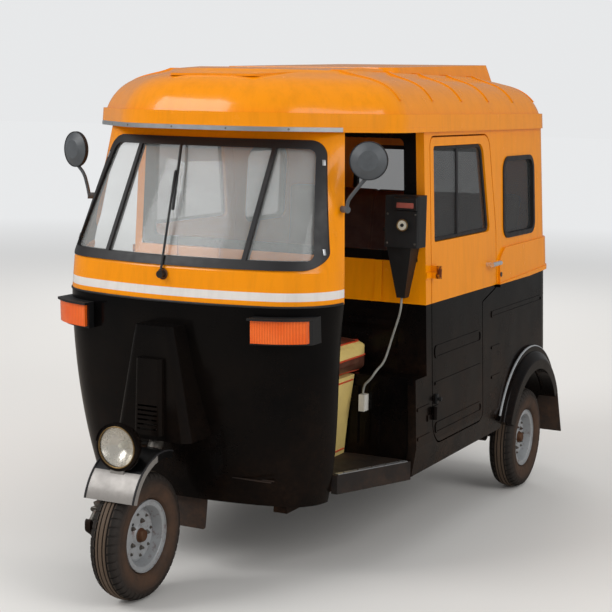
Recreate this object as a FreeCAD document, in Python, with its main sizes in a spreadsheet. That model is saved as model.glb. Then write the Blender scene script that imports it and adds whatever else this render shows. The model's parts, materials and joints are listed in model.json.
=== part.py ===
import FreeCAD, Part
import math
import os
from FreeCAD import Placement, Rotation, Vector

# Auto rickshaw with a steel hard top, in millimetres.
# While it is modelled, y counts back from the front axle, x to the vehicle's left and z up from the ground.
# Each sub-part's Placement then moves it so that the middle of the overall length lies at y = 0.

doc = FreeCAD.newDocument("AutoRickshaw")

# Driving dimensions: alias, value, what it is
sizeTable = [
    ("wheelbase", 2000, "front axle to rear axle"),
    ("rearTrack", 1150, "between the centres of the rear tyres"),
    ("tyreRadius", 207.5, "outer radius of a 4.00-8 tyre"),
    ("tyreWidth", 106, "widest place of the side walls"),
    ("treadWidth", 88, "across the tread"),
    ("seatRadius", 102, "bead seat of the rim"),
    ("flangeRadius", 116.5, "outer edge of the rim flange"),
    ("rimWidth", 72, "over both flanges"),
    ("rimGauge", 4, "rim steel"),
    ("collarRadius", 24, "lower collar of the steering column"),
    ("axleRadius", 14, "stub axle"),
    ("axlePlay", 0.05, "running clearance of a hub on its axle"),
    ("steelGauge", 5, "stampings, mudguards and brackets"),
    ("frontWall", 25, "front shell with its frame"),
    ("sideWall", 30, "side shell and doors with their frames"),
    ("sillZ", 300, "bottom edge of the sides"),
    ("apronFootZ", 262, "bottom edge of the front apron"),
    ("apronHipZ", 450, "section of the apron above its foot"),
    ("apronChestZ", 700, "section of the apron below the belt"),
    ("beltZ", 935, "joint between apron and cab front"),
    ("scuttleZ", 1045, "lower edge of the sloping windscreen panel"),
    ("lipZ", 1485, "bottom edge of the roof lip"),
    ("wallTopZ", 1500, "top of the side walls, where the roof sits"),
    ("noseRadius", 1200, "plan radius across the middle of the front"),
    ("noseHalf", 340, "half width of that middle arc"),
    ("hipZ", 400, "widest height of the sides"),
    ("hipHalf", 622, "half width over the sides there"),
    ("sillHalf", 606, "half width at the sill"),
    ("waistHalf", 600, "half width at the belt"),
    ("eaveHalf", 574, "half width under the roof"),
    ("tailY", 2330, "rear face"),
    ("bumperReach", 87.5, "back of the bumper behind the rear face"),
    ("tailCornerRadius", 150, "rear corners in plan"),
    ("postY", 900, "front edge of the post behind the driver"),
    ("stepY", 800, "front edge of the low side panel"),
    ("stepZ", 640, "top of the low side panel"),
    ("floorZ", 355, "top of the floor"),
    ("floorGauge", 25, "floor with its mat"),
    ("doorGap", 6, "gap round a door"),
    ("hatchGap", 8, "gap round the engine hatch"),
    ("hingeHalf", 628, "door hinge pins from the middle"),
    ("hingeRadius", 9, "door hinge barrel"),
    ("hingePin", 4, "door hinge pin"),
    ("hingeLength", 22, "each half of a door hinge barrel"),
    ("hatchPinRadius", 3, "hinge pin of the engine hatch"),
    ("hatchBarrel", 5.7, "hinge barrel of the engine hatch"),
    ("pinPlay", 0.05, "running clearance of a hinge pin"),
    ("doorFrontY", 955, "front edge of a door"),
    ("doorFootZ", 385, "bottom of a door"),
    ("doorHeadZ", 1465, "top of a door"),
    ("doorLowRearY", 1460, "rear edge of a door, below the belt"),
    ("doorHighRearY", 1615, "rear edge of a door, at the belt"),
    ("doorTopRearY", 1545, "rear edge of a door, at the top"),
    ("doorJogZ", 880, "where the rear edge steps"),
    ("glassGauge", 5, "window glass"),
    ("archRadius", 297, "wheel arch"),
    ("mudguardRadius", 364, "crown of a rear mudguard"),
    ("mudguardFlange", 384, "outer edge of its flange on the side"),
    ("mudguardHalf", 660, "half width over the rear mudguards"),
    ("rake", 25, "steering axis from the vertical, in degrees"),
    ("steerY", 120, "steering axis at steerZ"),
    ("steerZ", 500, "height where steerY is counted"),
    ("columnRadius", 20, "steering column"),
    ("columnPlay", 0.05, "running clearance of the column in its head"),
    ("headRadius", 32, "steering head tube"),
    ("lampZ", 514, "centre of the headlamp"),
    ("lampY", -116, "front rim of the headlamp"),
    ("lampRadius", 76, "over the headlamp rim"),
    ("railHalf", 300, "half distance between the chassis rails"),
    ("roofHalf", 590, "half width over the roof lip"),
    ("roofNoseY", 310, "front of the roof lip"),
    ("roofTailY", 2345, "rear of the roof lip"),
    ("creaseZ", 1545, "crease above the roof's band"),
    ("roofTopZ", 1700, "top of the raised front platform"),
    ("platformNoseZ", 1668, "height of the front platform at its front edge"),
    ("roofRearZ", 1742, "highest place of the rear platform"),
    ("roofGauge", 24, "roof shell with its lining"),
    ("platformHalf", 330, "half width of the front platform"),
    ("rearPlatformHalf", 366, "half width of the rear platform"),
    ("seatZ", 765, "top of the driver's seat"),
    ("seatHalf", 392, "half width of the driver's seat"),
    ("benchZ", 790, "top of the rear bench"),
    ("benchY", 1500, "front of the rear bench"),
    ("restGap", 0.3, "gap under and behind soft parts and loose fits"),
]

sheet = doc.addObject("Spreadsheet::Sheet", "Sizes")
for row, (alias, value, note) in enumerate(sizeTable, start=1):
    sheet.set("A%d" % row, alias)
    sheet.set("B%d" % row, str(value))
    sheet.set("C%d" % row, note)
    sheet.setAlias("B%d" % row, alias)
sheet.set("A%d" % (len(sizeTable) + 1), "overallLength")
sheet.set("B%d" % (len(sizeTable) + 1), "=tyreRadius + tailY + bumperReach")
sheet.set("C%d" % (len(sizeTable) + 1), "front of the front tyre to the back of the bumper")
sheet.setAlias("B%d" % (len(sizeTable) + 1), "overallLength")
doc.recompute()


class Dimensions:
    pass


dim = Dimensions()
for alias, value, note in sizeTable:
    setattr(dim, alias, float(sheet.get(alias)))

frameShift = "Sizes.tyreRadius - Sizes.overallLength / 2"
bumperBackY = dim.tailY + dim.bumperReach
floorUnder = dim.floorZ - dim.floorGauge
subParts = []


# Making and placing sub-parts

def register(item, label):
    item.Label = label
    item.setExpression(".Placement.Base.y", frameShift)
    subParts.append(item)
    return item


def feature(label, shape):
    # the shape's own place goes into its geometry, because the Placement holds the frame shift
    place = shape.Placement.toMatrix()
    bare = shape.copy()
    bare.Placement = Placement()
    item = doc.addObject("Part::Feature", label)
    item.Shape = bare.transformed(place, copy=True)
    item.Placement = Placement()
    return register(item, label)


def unit(vector):
    return vector * (1.0 / vector.Length)


def roundedPath(corners):
    # corners are (u, v, radius); the result is straight and arc pieces in the uv plane
    count = len(corners)
    turns = []
    for index, (u, v, radius) in enumerate(corners):
        here = Vector(u, v, 0)
        back = unit(Vector(*corners[index - 1][:2], 0) - here)
        ahead = unit(Vector(*corners[(index + 1) % count][:2], 0) - here)
        half = back.getAngle(ahead) / 2
        if radius:
            reach = radius / math.tan(half)
            depth = radius / math.sin(half) - radius
            middle = here + unit(back + ahead) * depth
            turns.append((here + back * reach, middle, here + ahead * reach))
        else:
            turns.append((here, None, here))
    pieces = []
    for index, (start, middle, end) in enumerate(turns):
        if middle is not None:
            pieces.append(Part.Arc(start, middle, end))
        following = turns[(index + 1) % count][0]
        if (following - end).Length > 1e-6:
            pieces.append(Part.LineSegment(end, following))
    return pieces


# Planes as (first axis, second axis, normal)
planes = {
    "XY": (Vector(1, 0, 0), Vector(0, 1, 0), Vector(0, 0, 1)),
    "XZ": (Vector(1, 0, 0), Vector(0, 0, 1), Vector(0, -1, 0)),
    "YZ": (Vector(0, 1, 0), Vector(0, 0, 1), Vector(1, 0, 0)),
}


def prism(plane, corners, low, high):
    # a flat outline carried from low to high along the plane's own axis: X for YZ, Y for XZ, Z for XY
    first, second, normal = planes[plane]
    along = Vector(abs(normal.x), abs(normal.y), abs(normal.z))
    edges = []
    for piece in roundedPath(corners):
        edge = piece.toShape()
        edge.Placement = Placement(FreeCAD.Matrix(first.x, second.x, normal.x, 0,
                                                  first.y, second.y, normal.y, 0,
                                                  first.z, second.z, normal.z, 0))
        edges.append(edge)
    face = Part.Face(Part.Wire(edges))
    face.translate(along * low)
    return face.extrude(along * (high - low))


def box(lowX, highX, lowY, highY, lowZ, highZ):
    solid = Part.makeBox(highX - lowX, highY - lowY, highZ - lowZ)
    solid.translate(Vector(lowX, lowY, lowZ))
    return solid


def rod(start, end, radius):
    run = end - start
    return Part.makeCylinder(radius, run.Length, start, run)


def mirrorX(shape):
    return shape.mirror(Vector(0, 0, 0), Vector(1, 0, 0))


def tube(points, radius):
    # straight runs joined by tangent arcs, each as large as its two runs allow
    edges = []
    radii = []
    start = points[0]
    for index in range(1, len(points) - 1):
        here = points[index]
        back = points[index - 1] - here
        ahead = points[index + 1] - here
        shorter = min(back.Length, ahead.Length)
        back = unit(back)
        ahead = unit(ahead)
        half = back.getAngle(ahead) / 2
        reach = 0.45 * shorter
        radii.append(reach * math.tan(half))
        depth = radii[-1] / math.sin(half) - radii[-1]
        first = here + back * reach
        last = here + ahead * reach
        edges.append(Part.LineSegment(start, first).toShape())
        edges.append(Part.Arc(first, here + unit(back + ahead) * depth, last).toShape())
        start = last
    edges.append(Part.LineSegment(start, points[-1]).toShape())
    path = Part.Wire(edges)
    circle = Part.Wire(Part.makeCircle(radius, points[0], points[1] - points[0]))
    solid = path.makePipeShell([circle], True, False)
    drawn = math.pi * radius ** 2 * path.Length
    return solid, radii, drawn


# Front shell: plan sections of a middle arc and two tangent side arcs

def frontArcs(nose, edgeX, edgeY):
    tilt = math.asin(dim.noseHalf / dim.noseRadius)
    joinY = nose + dim.noseRadius * (1 - math.cos(tilt))
    chord = math.atan2(edgeY - joinY, edgeX - dim.noseHalf)
    last = 2 * chord - tilt
    radius = (edgeX - dim.noseHalf) / (math.sin(last) - math.sin(tilt))
    centreX = dim.noseHalf - radius * math.sin(tilt)
    centreY = joinY + radius * math.cos(tilt)
    return tilt, last, radius, centreX, centreY


def frontPoint(section, inset, angle):
    nose, edgeX, edgeY = section
    tilt, last, radius, centreX, centreY = frontArcs(nose, edgeX, edgeY)
    side = 1 if angle >= 0 else -1
    angle = abs(angle)
    if angle <= tilt:
        reach = dim.noseRadius - inset
        return Vector(side * reach * math.sin(angle), nose + dim.noseRadius - reach * math.cos(angle), 0)
    reach = radius - inset
    return Vector(side * (centreX + reach * math.sin(angle)), centreY - reach * math.cos(angle), 0)


def frontEdges(section, inset, lift):
    tilt, last, radius, centreX, centreY = frontArcs(*section)
    stops = [-last, -tilt, tilt, last]
    edges = []
    for first, second in zip(stops, stops[1:]):
        three = [frontPoint(section, inset, angle) + Vector(0, 0, lift)
                 for angle in (first, (first + second) / 2, second)]
        edges.append(Part.Arc(*three).toShape())
    return edges, frontPoint(section, inset, -last), frontPoint(section, inset, last)


def frontWire(section, lift, outside, inside):
    # outside and inside are insets from the outer skin; with no inside the section closes straight across
    outer, outerRight, outerLeft = frontEdges(section, outside, lift)
    rise = Vector(0, 0, lift)
    if inside is None:
        closing = [Part.LineSegment(outerLeft + rise, outerRight + rise).toShape()]
        return Part.Wire(outer + closing)
    inner, innerRight, innerLeft = frontEdges(section, inside, lift)
    leftEnd = Part.LineSegment(outerLeft + rise, innerLeft + rise).toShape()
    rightEnd = Part.LineSegment(innerRight + rise, outerRight + rise).toShape()
    return Part.Wire(outer + [leftEnd] + inner[::-1] + [rightEnd])


# Sections of the front from the foot up: height, nose y, edge x, edge y
apronSections = [
    (dim.apronFootZ, 300, 438, 486),
    (dim.apronHipZ, 238, 474, 462),
    (dim.apronChestZ, 181, 487, 450),
    (dim.beltZ, 165, 500, 449),
]
cabSections = [
    apronSections[-1],
    (dim.scuttleZ, 178, 499, 447),
    (dim.lipZ, 432, 450, 530),
]


def frontLoft(sections, outside, inside, ruled):
    wires = [frontWire((nose, edgeX, edgeY), lift, outside, inside) for lift, nose, edgeX, edgeY in sections]
    return Part.makeLoft(wires, True, ruled)


def apronShell(outside, inside):
    return frontLoft(apronSections, outside, inside, False)


def cabShell(outside, inside):
    return frontLoft(cabSections, outside, inside, True)


# Side and tail shell: closed plan sections with round rear corners
# Sections from the sill up: height, half width, tail y
tubSections = [
    (dim.sillZ, dim.sillHalf, dim.tailY),
    (dim.hipZ, dim.hipHalf, dim.tailY),
    (dim.beltZ, dim.waistHalf, dim.tailY),
    (dim.wallTopZ, dim.eaveHalf, dim.tailY - 25),
]


def tubBlock(inset, frontY):
    wires = []
    for lift, half, tail in tubSections:
        side = half - inset
        back = tail - inset
        corner = dim.tailCornerRadius - inset
        corners = [(side, frontY, 0), (side, back, corner), (-side, back, corner), (-side, frontY, 0)]
        edges = [piece.toShape() for piece in roundedPath(corners)]
        wire = Part.Wire(edges)
        wire.translate(Vector(0, 0, lift))
        wires.append(wire)
    return Part.makeLoft(wires, True, True)


def tubHalf(height, inset=0.0):
    # half width of the side shell at a height
    for (low, lowHalf, lowTail), (high, highHalf, highTail) in zip(tubSections, tubSections[1:]):
        if low <= height <= high:
            share = (height - low) / (high - low)
            return lowHalf + (highHalf - lowHalf) * share - inset
    return tubSections[0][1] - inset


tubOuter = tubBlock(0, dim.stepY)
tubShell = tubOuter.cut(tubBlock(dim.sideWall, dim.stepY - 100))

# Heights of the joint between the two halves of each door hinge
hingeHeights = (500, 1000)

# Door outline in the yz plane: y, z, corner radius
doorOutline = [
    (dim.doorFrontY, dim.doorFootZ, 80),
    (dim.doorLowRearY, dim.doorFootZ, 40),
    (dim.doorLowRearY, dim.doorJogZ - 40, 14),
    (dim.doorHighRearY, dim.doorJogZ, 14),
    (dim.doorHighRearY, 1100, 60),
    (dim.doorTopRearY, dim.doorHeadZ, 60),
    (dim.doorFrontY, dim.doorHeadZ, 30),
]
doorWindow = [
    (985, 1100, 12),
    (1550, 1100, 20),
    (1480, 1435, 50),
    (985, 1435, 12),
]
quarterWindow = [
    (1700, 1060, 50),
    (2085, 1060, 50),
    (2075, 1380, 60),
    (1700, 1380, 60),
]
rearWindow = [
    (-340, 1080, 60),
    (340, 1080, 60),
    (330, 1390, 60),
    (-330, 1390, 60),
]
screenOutline = [
    (-487, 1054, 45),
    (487, 1054, 45),
    (406, 1458, 60),
    (-406, 1458, 60),
]
hatchOutline = [
    (-360, 460, 40),
    (360, 460, 40),
    (360, 800, 25),
    (-360, 800, 25),
]


def grown(corners, amount):
    # the same outline, each side moved outwards by amount
    count = len(corners)
    result = []
    for index, (u, v, radius) in enumerate(corners):
        here = Vector(u, v, 0)
        back = unit(Vector(*corners[index - 1][:2], 0) - here)
        ahead = unit(Vector(*corners[(index + 1) % count][:2], 0) - here)
        outward = unit(back + ahead) * (-1)
        if back.cross(ahead).z > 0:
            outward = outward * (-1)
        step = amount / math.sin(back.getAngle(ahead) / 2)
        moved = here + outward * step
        bend = radius + amount if back.cross(ahead).z < 0 else radius - amount
        result.append((moved.x, moved.y, max(bend, 0)))
    return result


def makeFront():
    bore = rod(steerPoint(300), steerPoint(1000), dim.headRadius + dim.restGap)
    feature("front_apron", apronShell(0, dim.frontWall).cut(bore))
    opening = prism("XZ", screenOutline, 0, 700)
    feature("cab_front", cabShell(0, dim.frontWall).cut(opening))
    rubberInner = grown(screenOutline, -28)
    ring = prism("XZ", screenOutline, 0, 700).cut(prism("XZ", rubberInner, 0, 700))
    pillars = []
    for side, lowX, highX in ((1, 252, 250), (-1, 266, 264)):
        pillars.append(prism("XZ", [(side * (lowX - 7), 1040, 0), (side * (lowX + 7), 1040, 0),
                                    (side * (highX + 7), 1480, 0), (side * (highX - 7), 1480, 0)], 0, 700))
    pillars = pillars[0].fuse(pillars[1]).common(prism("XZ", rubberInner, 0, 700))
    feature("windscreen_rubber", cabShell(-6, 20).common(ring.fuse(pillars).removeSplitter()))
    panes = prism("XZ", rubberInner, 0, 700).cut(pillars)
    feature("windscreen_glass", cabShell(6, 6 + dim.glassGauge).common(panes))


def steerPoint(height):
    # a point on the steering axis
    return Vector(0, dim.steerY + (height - dim.steerZ) * math.tan(math.radians(dim.rake)), height)


def rectangleSection(half, frontY, backY, lift, radius):
    corners = [(-half, frontY, radius), (half, frontY, radius), (half, backY, 0), (-half, backY, 0)]
    wire = Part.Wire([piece.toShape() for piece in roundedPath(corners)])
    wire.translate(Vector(0, 0, lift))
    return wire


def makeCowl():
    # outer hood over the steering head and the narrow bulge on it: z, half width, front y, corner radius
    hood = [(500, 140, 80, 30), (868, 72, 83, 24)]
    bulge = [(520, 52, 57, 14), (766, 47, 59, 14)]
    wall = 6
    deep = 330

    def block(rows, inset):
        wires = [rectangleSection(half - inset, front + inset, deep, lift, radius - inset)
                 for lift, half, front, radius in rows]
        return Part.makeLoft(wires, True, True)

    skin = block(hood, 0).fuse(block(bulge, 0))
    inner = block([(500, 140, 80, 30), (862, 73, 83, 24)], wall)
    hollow = inner.fuse(block([(520, 52, 57, 14), (760, 47, 59, 14)], wall))
    shell = skin.cut(hollow).cut(apronShell(0, None)).cut(apronShell(0, dim.frontWall))
    slots = [box(-36, 36, 30, 75, lift, lift + 6) for lift in range(536, 626, 15)]
    feature("steering_cowl", shell.cut(Part.makeCompound(slots)))


def makeSteeringHead():
    low = steerPoint(540)
    high = steerPoint(730)
    sleeve = rod(low, high, dim.headRadius)
    start = steerPoint(700)
    foot = Vector(0, 560, dim.floorZ)
    brace = rod(Vector(0, start.y + 10, start.z), Vector(0, foot.y, foot.z - 20), 24)
    brace = brace.common(box(-60, 60, 200, 700, dim.floorZ, 900))
    bore = rod(steerPoint(400), steerPoint(900), dim.columnRadius + dim.columnPlay)
    feature("steering_head", sleeve.fuse(brace).cut(bore).removeSplitter())


def roofOutline(inset, lift):
    # plan of the roof at a height: a bowed front, cut-away front corners and round rear corners
    half = dim.roofHalf - inset
    nose = 240 - inset * 0.4
    corners = [
        (-nose, dim.roofNoseY + inset, 320),
        (nose, dim.roofNoseY + inset, 320),
        (half, 650 + inset * 0.7, 190),
        (half, dim.roofTailY - inset, 225),
        (-half, dim.roofTailY - inset, 225),
        (-half, 650 + inset * 0.7, 190),
    ]
    return loopAt(corners, lift)


def loopAt(corners, lift):
    wire = Part.Wire([piece.toShape() for piece in roundedPath(corners)])
    wire.translate(Vector(0, 0, lift))
    return wire


def roofDome(swell):
    # inset and height of each section above the crease; swell moves it outwards
    rows = [(14, dim.creaseZ), (34, 1590), (62, 1624), (124, 1659), (206, 1686)]
    return Part.makeLoft([roofOutline(inset - swell, lift + swell * inset / 206) for inset, lift in rows], True, False)


def frontPlatform():
    # a low rise, flat behind, that narrows and falls towards the front
    frontY = 440
    flatY = 900
    blocks = []
    for inset, lift in ((0, 1660), (0, dim.roofTopZ - 16), (14, dim.roofTopZ)):
        half = dim.platformHalf - inset
        corners = [
            (-(half - 170), frontY + inset, 30),
            (half - 170, frontY + inset, 30),
            (half, 760 + inset, 60),
            (half, 1330 - inset, 40),
            (-half, 1330 - inset, 40),
            (-half, 760 + inset, 60),
        ]
        blocks.append(loopAt(corners, lift))
    above = prism("YZ", [(frontY - 50, dim.platformNoseZ, 0), (frontY, dim.platformNoseZ, 0),
                         (flatY, dim.roofTopZ, 0), (flatY, dim.roofTopZ + 50, 0),
                         (frontY - 50, dim.roofTopZ + 50, 0)], -700, 700)
    return Part.makeLoft(blocks, True, True).cut(above)


def rearPlatform():
    # a taller rise whose top climbs towards the rear
    frontY = 1120
    rearY = 2200
    frontZ = 1706
    blocks = []
    for inset, lift in ((0, 1660), (30, dim.roofRearZ + 20)):
        half = dim.rearPlatformHalf - inset
        blocks.append(loopAt([(-half, frontY + inset, 60), (half, frontY + inset, 60),
                              (half, rearY - inset, 60), (-half, rearY - inset, 60)], lift))
    above = prism("YZ", [(frontY - 100, frontZ, 0), (frontY, frontZ, 0), (rearY - 30, dim.roofRearZ, 0),
                         (rearY + 100, dim.roofRearZ, 0), (rearY + 100, 1900, 0), (frontY - 100, 1900, 0)], -700, 700)
    return Part.makeLoft(blocks, True, True).cut(above)


def roofRibs():
    # ridges pressed into the shoulders
    ribs = []
    for count in range(6):
        middle = 735 + 283 * count
        for side in (1, -1):
            low, high = sorted((side * 300, side * 700))
            ribs.append(box(low, high, middle - 8, middle + 8, 1592, 1720))
    return Part.makeCompound(ribs).common(roofDome(4)).Solids


def makeRoof():
    band = Part.makeLoft([roofOutline(0, dim.lipZ), roofOutline(3, dim.creaseZ)], True, True)
    outer = band.fuse([roofDome(0), frontPlatform(), rearPlatform()] + roofRibs())
    gauge = dim.roofGauge
    hollowRows = [(gauge + 20, dim.wallTopZ), (gauge + 20, 1545), (gauge + 34, 1590), (gauge + 90, 1628),
                  (gauge + 190, 1660)]
    lining = Part.makeLoft([roofOutline(inset, lift) for inset, lift in hollowRows], True, False)
    rebate = tubBlock(-dim.restGap, dim.stepY - 400).common(box(-700, 700, 300, 2500, dim.lipZ, dim.wallTopZ))
    shell = outer.cut(lining).cut(rebate)
    feature("roof_shell", shell.removeSplitter())


def makeSides():
    whole = tubShell
    aboveStep = box(-700, 700, dim.stepY - 1, dim.postY, dim.stepZ, 1600)
    whole = whole.cut(aboveStep)
    whole = whole.cut(prism("YZ", grown(doorOutline, dim.doorGap), -700, 700))
    for side in (1, -1):
        centre = Vector(side * 400, dim.wheelbase, dim.tyreRadius)
        whole = whole.cut(rod(centre, centre + Vector(side * 400, 0, 0), dim.archRadius + dim.restGap))
    rearHalf = 450
    tail = box(-rearHalf, rearHalf, dim.tailY - 200, dim.tailY + 100, dim.sillZ - 10, 1600)
    rear = whole.common(tail)
    rear = rear.cut(prism("XZ", grown(hatchOutline, dim.hatchGap), 2200, 2500))
    rear = rear.cut(prism("XZ", rearWindow, 2200, 2500))
    for side in (1, -1):
        rear = rear.fuse(hatchHinge(side, 260 + dim.restGap, 34, True))
    feature("rear_panel", rear.removeSplitter())
    sides = whole.cut(tail)
    for side, label in ((1, "body_side_left"), (-1, "body_side_right")):
        half = sides.common(box(min(0, side * 700), max(0, side * 700), 700, 2500, 200, 1600))
        half = half.fuse(quarterPad(side)).cut(prism("YZ", quarterWindow, -700, 700))
        half = half.fuse(pressings(side, sidePressings))
        for height in hingeHeights:
            half = half.fuse(doorHinge(side, height - dim.hingeLength, -48, True))
        feature(label, half.removeSplitter())


# Ribs pressed into the lower panels: front end, rear end, middle height, height of the rib
sidePressings = [
    (1560, 2170, 776, 26),
    (1560, 1660, 646, 12),
    (1560, 1660, 530, 12),
    (812, 925, 533, 12),
    (812, 925, 430, 12),
]
doorPressings = [
    (975, 1440, 712, 46),
    (975, 1440, 600, 12),
    (975, 1440, 440, 40),
]


def pressings(side, rows):
    # shallow raised ribs with round ends, in the plane of the skin
    low, high = sorted((side * 500, side * 700))
    skin = tubBlock(-3, dim.stepY).cut(tubBlock(0, dim.stepY - 100))
    ribs = []
    for frontY, rearY, middle, height in rows:
        corners = [(frontY, middle - height / 2, height * 0.4), (rearY, middle - height / 2, height * 0.4),
                   (rearY, middle + height / 2, height * 0.4), (frontY, middle + height / 2, height * 0.4)]
        rib = prism("YZ", corners, low, high)
        if height > 20:
            groove = [(v, w - math.copysign(7, w - middle), max(bend - 7, 1)) for v, w, bend in corners]
            groove = [(v + (7 if v == frontY else -7), w, bend) for v, w, bend in groove]
            rib = rib.cut(prism("YZ", groove, low, high))
        ribs.append(rib.common(skin))
    return ribs


def quarterPad(side):
    # the fuller lower part of the rear quarter: a ledge along the colour split, ending in a waist crease
    low, high = sorted((side * 440, side * 700))
    skin = tubBlock(-9, dim.stepY).cut(tubBlock(0, dim.stepY - 100))
    outline = [(1640, 892, 0), (2400, 918, 0), (2400, 1032, 0), (1700, 1026, 30), (1640, 985, 30)]
    ledge = [(1628, 876, 0), (2400, 902, 0), (2400, 918, 0), (1628, 892, 0)]
    proud = tubBlock(-14, dim.stepY).cut(tubBlock(0, dim.stepY - 100))
    return [skin.common(prism("YZ", outline, low, high)), proud.common(prism("YZ", ledge, low, high))]


def doorHinge(side, low, reachY, withPin):
    # a barrel, its arm and its leaf on the skin; the leaf runs back or forward from the pin by reachY
    pinX = side * dim.hingeHalf
    pinY = dim.doorFrontY - dim.doorGap
    high = low + dim.hingeLength
    barrel = rod(Vector(pinX, pinY, low), Vector(pinX, pinY, high), dim.hingeRadius)
    start = pinY + math.copysign(dim.restGap, reachY)
    nearY, farY = sorted((start, pinY + math.copysign(7, reachY)))
    innerX, outerX = sorted((pinX, side * (tubHalf(high) - 2)))
    arm = box(innerX, outerX, nearY, farY, low, high)
    nearY, farY = sorted((start, pinY + reachY))
    plate = box(min(0, side * 700), max(0, side * 700), nearY, farY, low, high).common(tubBlock(-4, dim.stepY))
    whole = barrel.fuse(arm).fuse(plate).cut(tubBlock(0, dim.stepY))
    if withPin:
        pin = rod(Vector(pinX, pinY, low), Vector(pinX, pinY, high + dim.hingeLength), dim.hingePin)
        return whole.fuse(pin)
    return whole.cut(rod(Vector(pinX, pinY, low), Vector(pinX, pinY, high), dim.hingePin + dim.pinPlay))


def leaf(side, inset, gauge):
    # a flat leaning sheet parallel to the upper side wall
    low = dim.scuttleZ
    high = dim.lipZ
    corners = []
    for lift, depth in ((low, inset), (high, inset), (high, inset + gauge), (low, inset + gauge)):
        corners.append((side * tubHalf(lift, depth), lift, 0))
    return prism("XZ", corners, dim.postY, dim.tailY)


def makeDoors():
    for side, name in ((1, "left"), (-1, "right")):
        low = min(side * 400, side * 700)
        high = max(side * 400, side * 700)
        slab = tubBlock(0, dim.stepY).cut(tubBlock(dim.sideWall, dim.stepY - 100))
        slab = slab.common(prism("YZ", doorOutline, low, high))
        for height in hingeHeights:
            slab = slab.fuse(doorHinge(side, height + dim.restGap, 52, False))
        slab = slab.cut(prism("YZ", doorWindow, low, high)).fuse(pressings(side, doorPressings))
        feature("door_%s" % name, slab)
        pane = leaf(side, (dim.sideWall - dim.glassGauge) / 2, dim.glassGauge)
        feature("door_%s_glass" % name, pane.common(prism("YZ", doorWindow, low, high)))
        skin = tubHalf(976)
        bar = rod(Vector(side * (skin + 26), 1500, 976), Vector(side * (skin + 26), 1596, 976), 9)
        stem = rod(Vector(side * (skin - 1), 1512, 976), Vector(side * (skin + 26), 1512, 976), 8)
        handle = bar.fuse(stem).cut(tubBlock(0, dim.stepY))
        feature("door_%s_handle" % name, handle.removeSplitter())


def makeHatch():
    slab = tubShell.common(prism("XZ", hatchOutline, dim.tailY - 150, dim.tailY + 100))
    # two columns of pressed louvres let the engine's heat out
    louvreHeights = range(500, 760, 46)
    for side in (1, -1):
        slab = slab.fuse(hatchHinge(side, 220, -34, False))
        low, high = sorted((side * 60, side * 300))
        for foot in louvreHeights:
            hood = [(dim.tailY - 1, foot, 0), (dim.tailY + 9, foot, 2), (dim.tailY - 1, foot + 26, 0)]
            slab = slab.fuse(prism("YZ", hood, low, high))
            slab = slab.cut(prism("YZ", [(dim.tailY - 40, foot - 1, 0), (dim.tailY + 6, foot - 1, 0),
                                         (dim.tailY - 40, foot + 14, 0)], low + 6, high - 6))
    feature("engine_hatch", slab.removeSplitter())


def hatchHinge(side, nearX, reachZ, withPin):
    # a barrel and a leaf that runs up or down from the pin by reachZ
    length = 40
    pinY = dim.tailY + dim.hatchBarrel + dim.restGap
    pinZ = hatchOutline[-1][1] + dim.hatchGap - 2
    lowX, highX = sorted((side * nearX, side * (nearX + length)))
    barrel = rod(Vector(lowX, pinY, pinZ), Vector(highX, pinY, pinZ), dim.hatchBarrel)
    lowZ, highZ = sorted((pinZ + math.copysign(2, reachZ), pinZ + reachZ))
    plate = box(lowX, highX, dim.tailY, dim.tailY + 4, lowZ, highZ)
    whole = barrel.fuse(plate)
    if withPin:
        return whole.fuse(rod(Vector(side * (nearX - length), pinY, pinZ), Vector(side * nearX, pinY, pinZ),
                              dim.hatchPinRadius))
    return whole.cut(rod(Vector(lowX - 1, pinY, pinZ), Vector(highX + 1, pinY, pinZ),
                         dim.hatchPinRadius + dim.pinPlay))


def makeWindows():
    rubbers = []
    panes = []
    for side in (1, -1):
        low = min(side * 400, side * 700)
        high = max(side * 400, side * 700)
        inner = grown(quarterWindow, -18)
        outerBlock = tubBlock(-5, dim.stepY)
        rim = outerBlock.cut(tubBlock(20, dim.stepY - 100))
        hole = prism("YZ", quarterWindow, low, high)
        clear = prism("YZ", inner, low, high)
        rubbers.append(rim.common(hole.cut(clear)))
        panes.append(leaf(side, 7, dim.glassGauge).common(clear))
    inner = grown(rearWindow, -18)
    hole = prism("XZ", rearWindow, 2200, 2500)
    clear = prism("XZ", inner, 2200, 2500)
    rim = tubBlock(-5, dim.stepY).cut(tubBlock(20, dim.stepY - 100))
    rubbers.append(rim.common(hole.cut(clear)))
    sheetGlass = tubBlock(7, dim.stepY).cut(tubBlock(7 + dim.glassGauge, dim.stepY - 100))
    panes.append(sheetGlass.common(clear))
    feature("window_rubbers", Part.makeCompound(rubbers))
    feature("window_glass", Part.makeCompound(panes))


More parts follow.
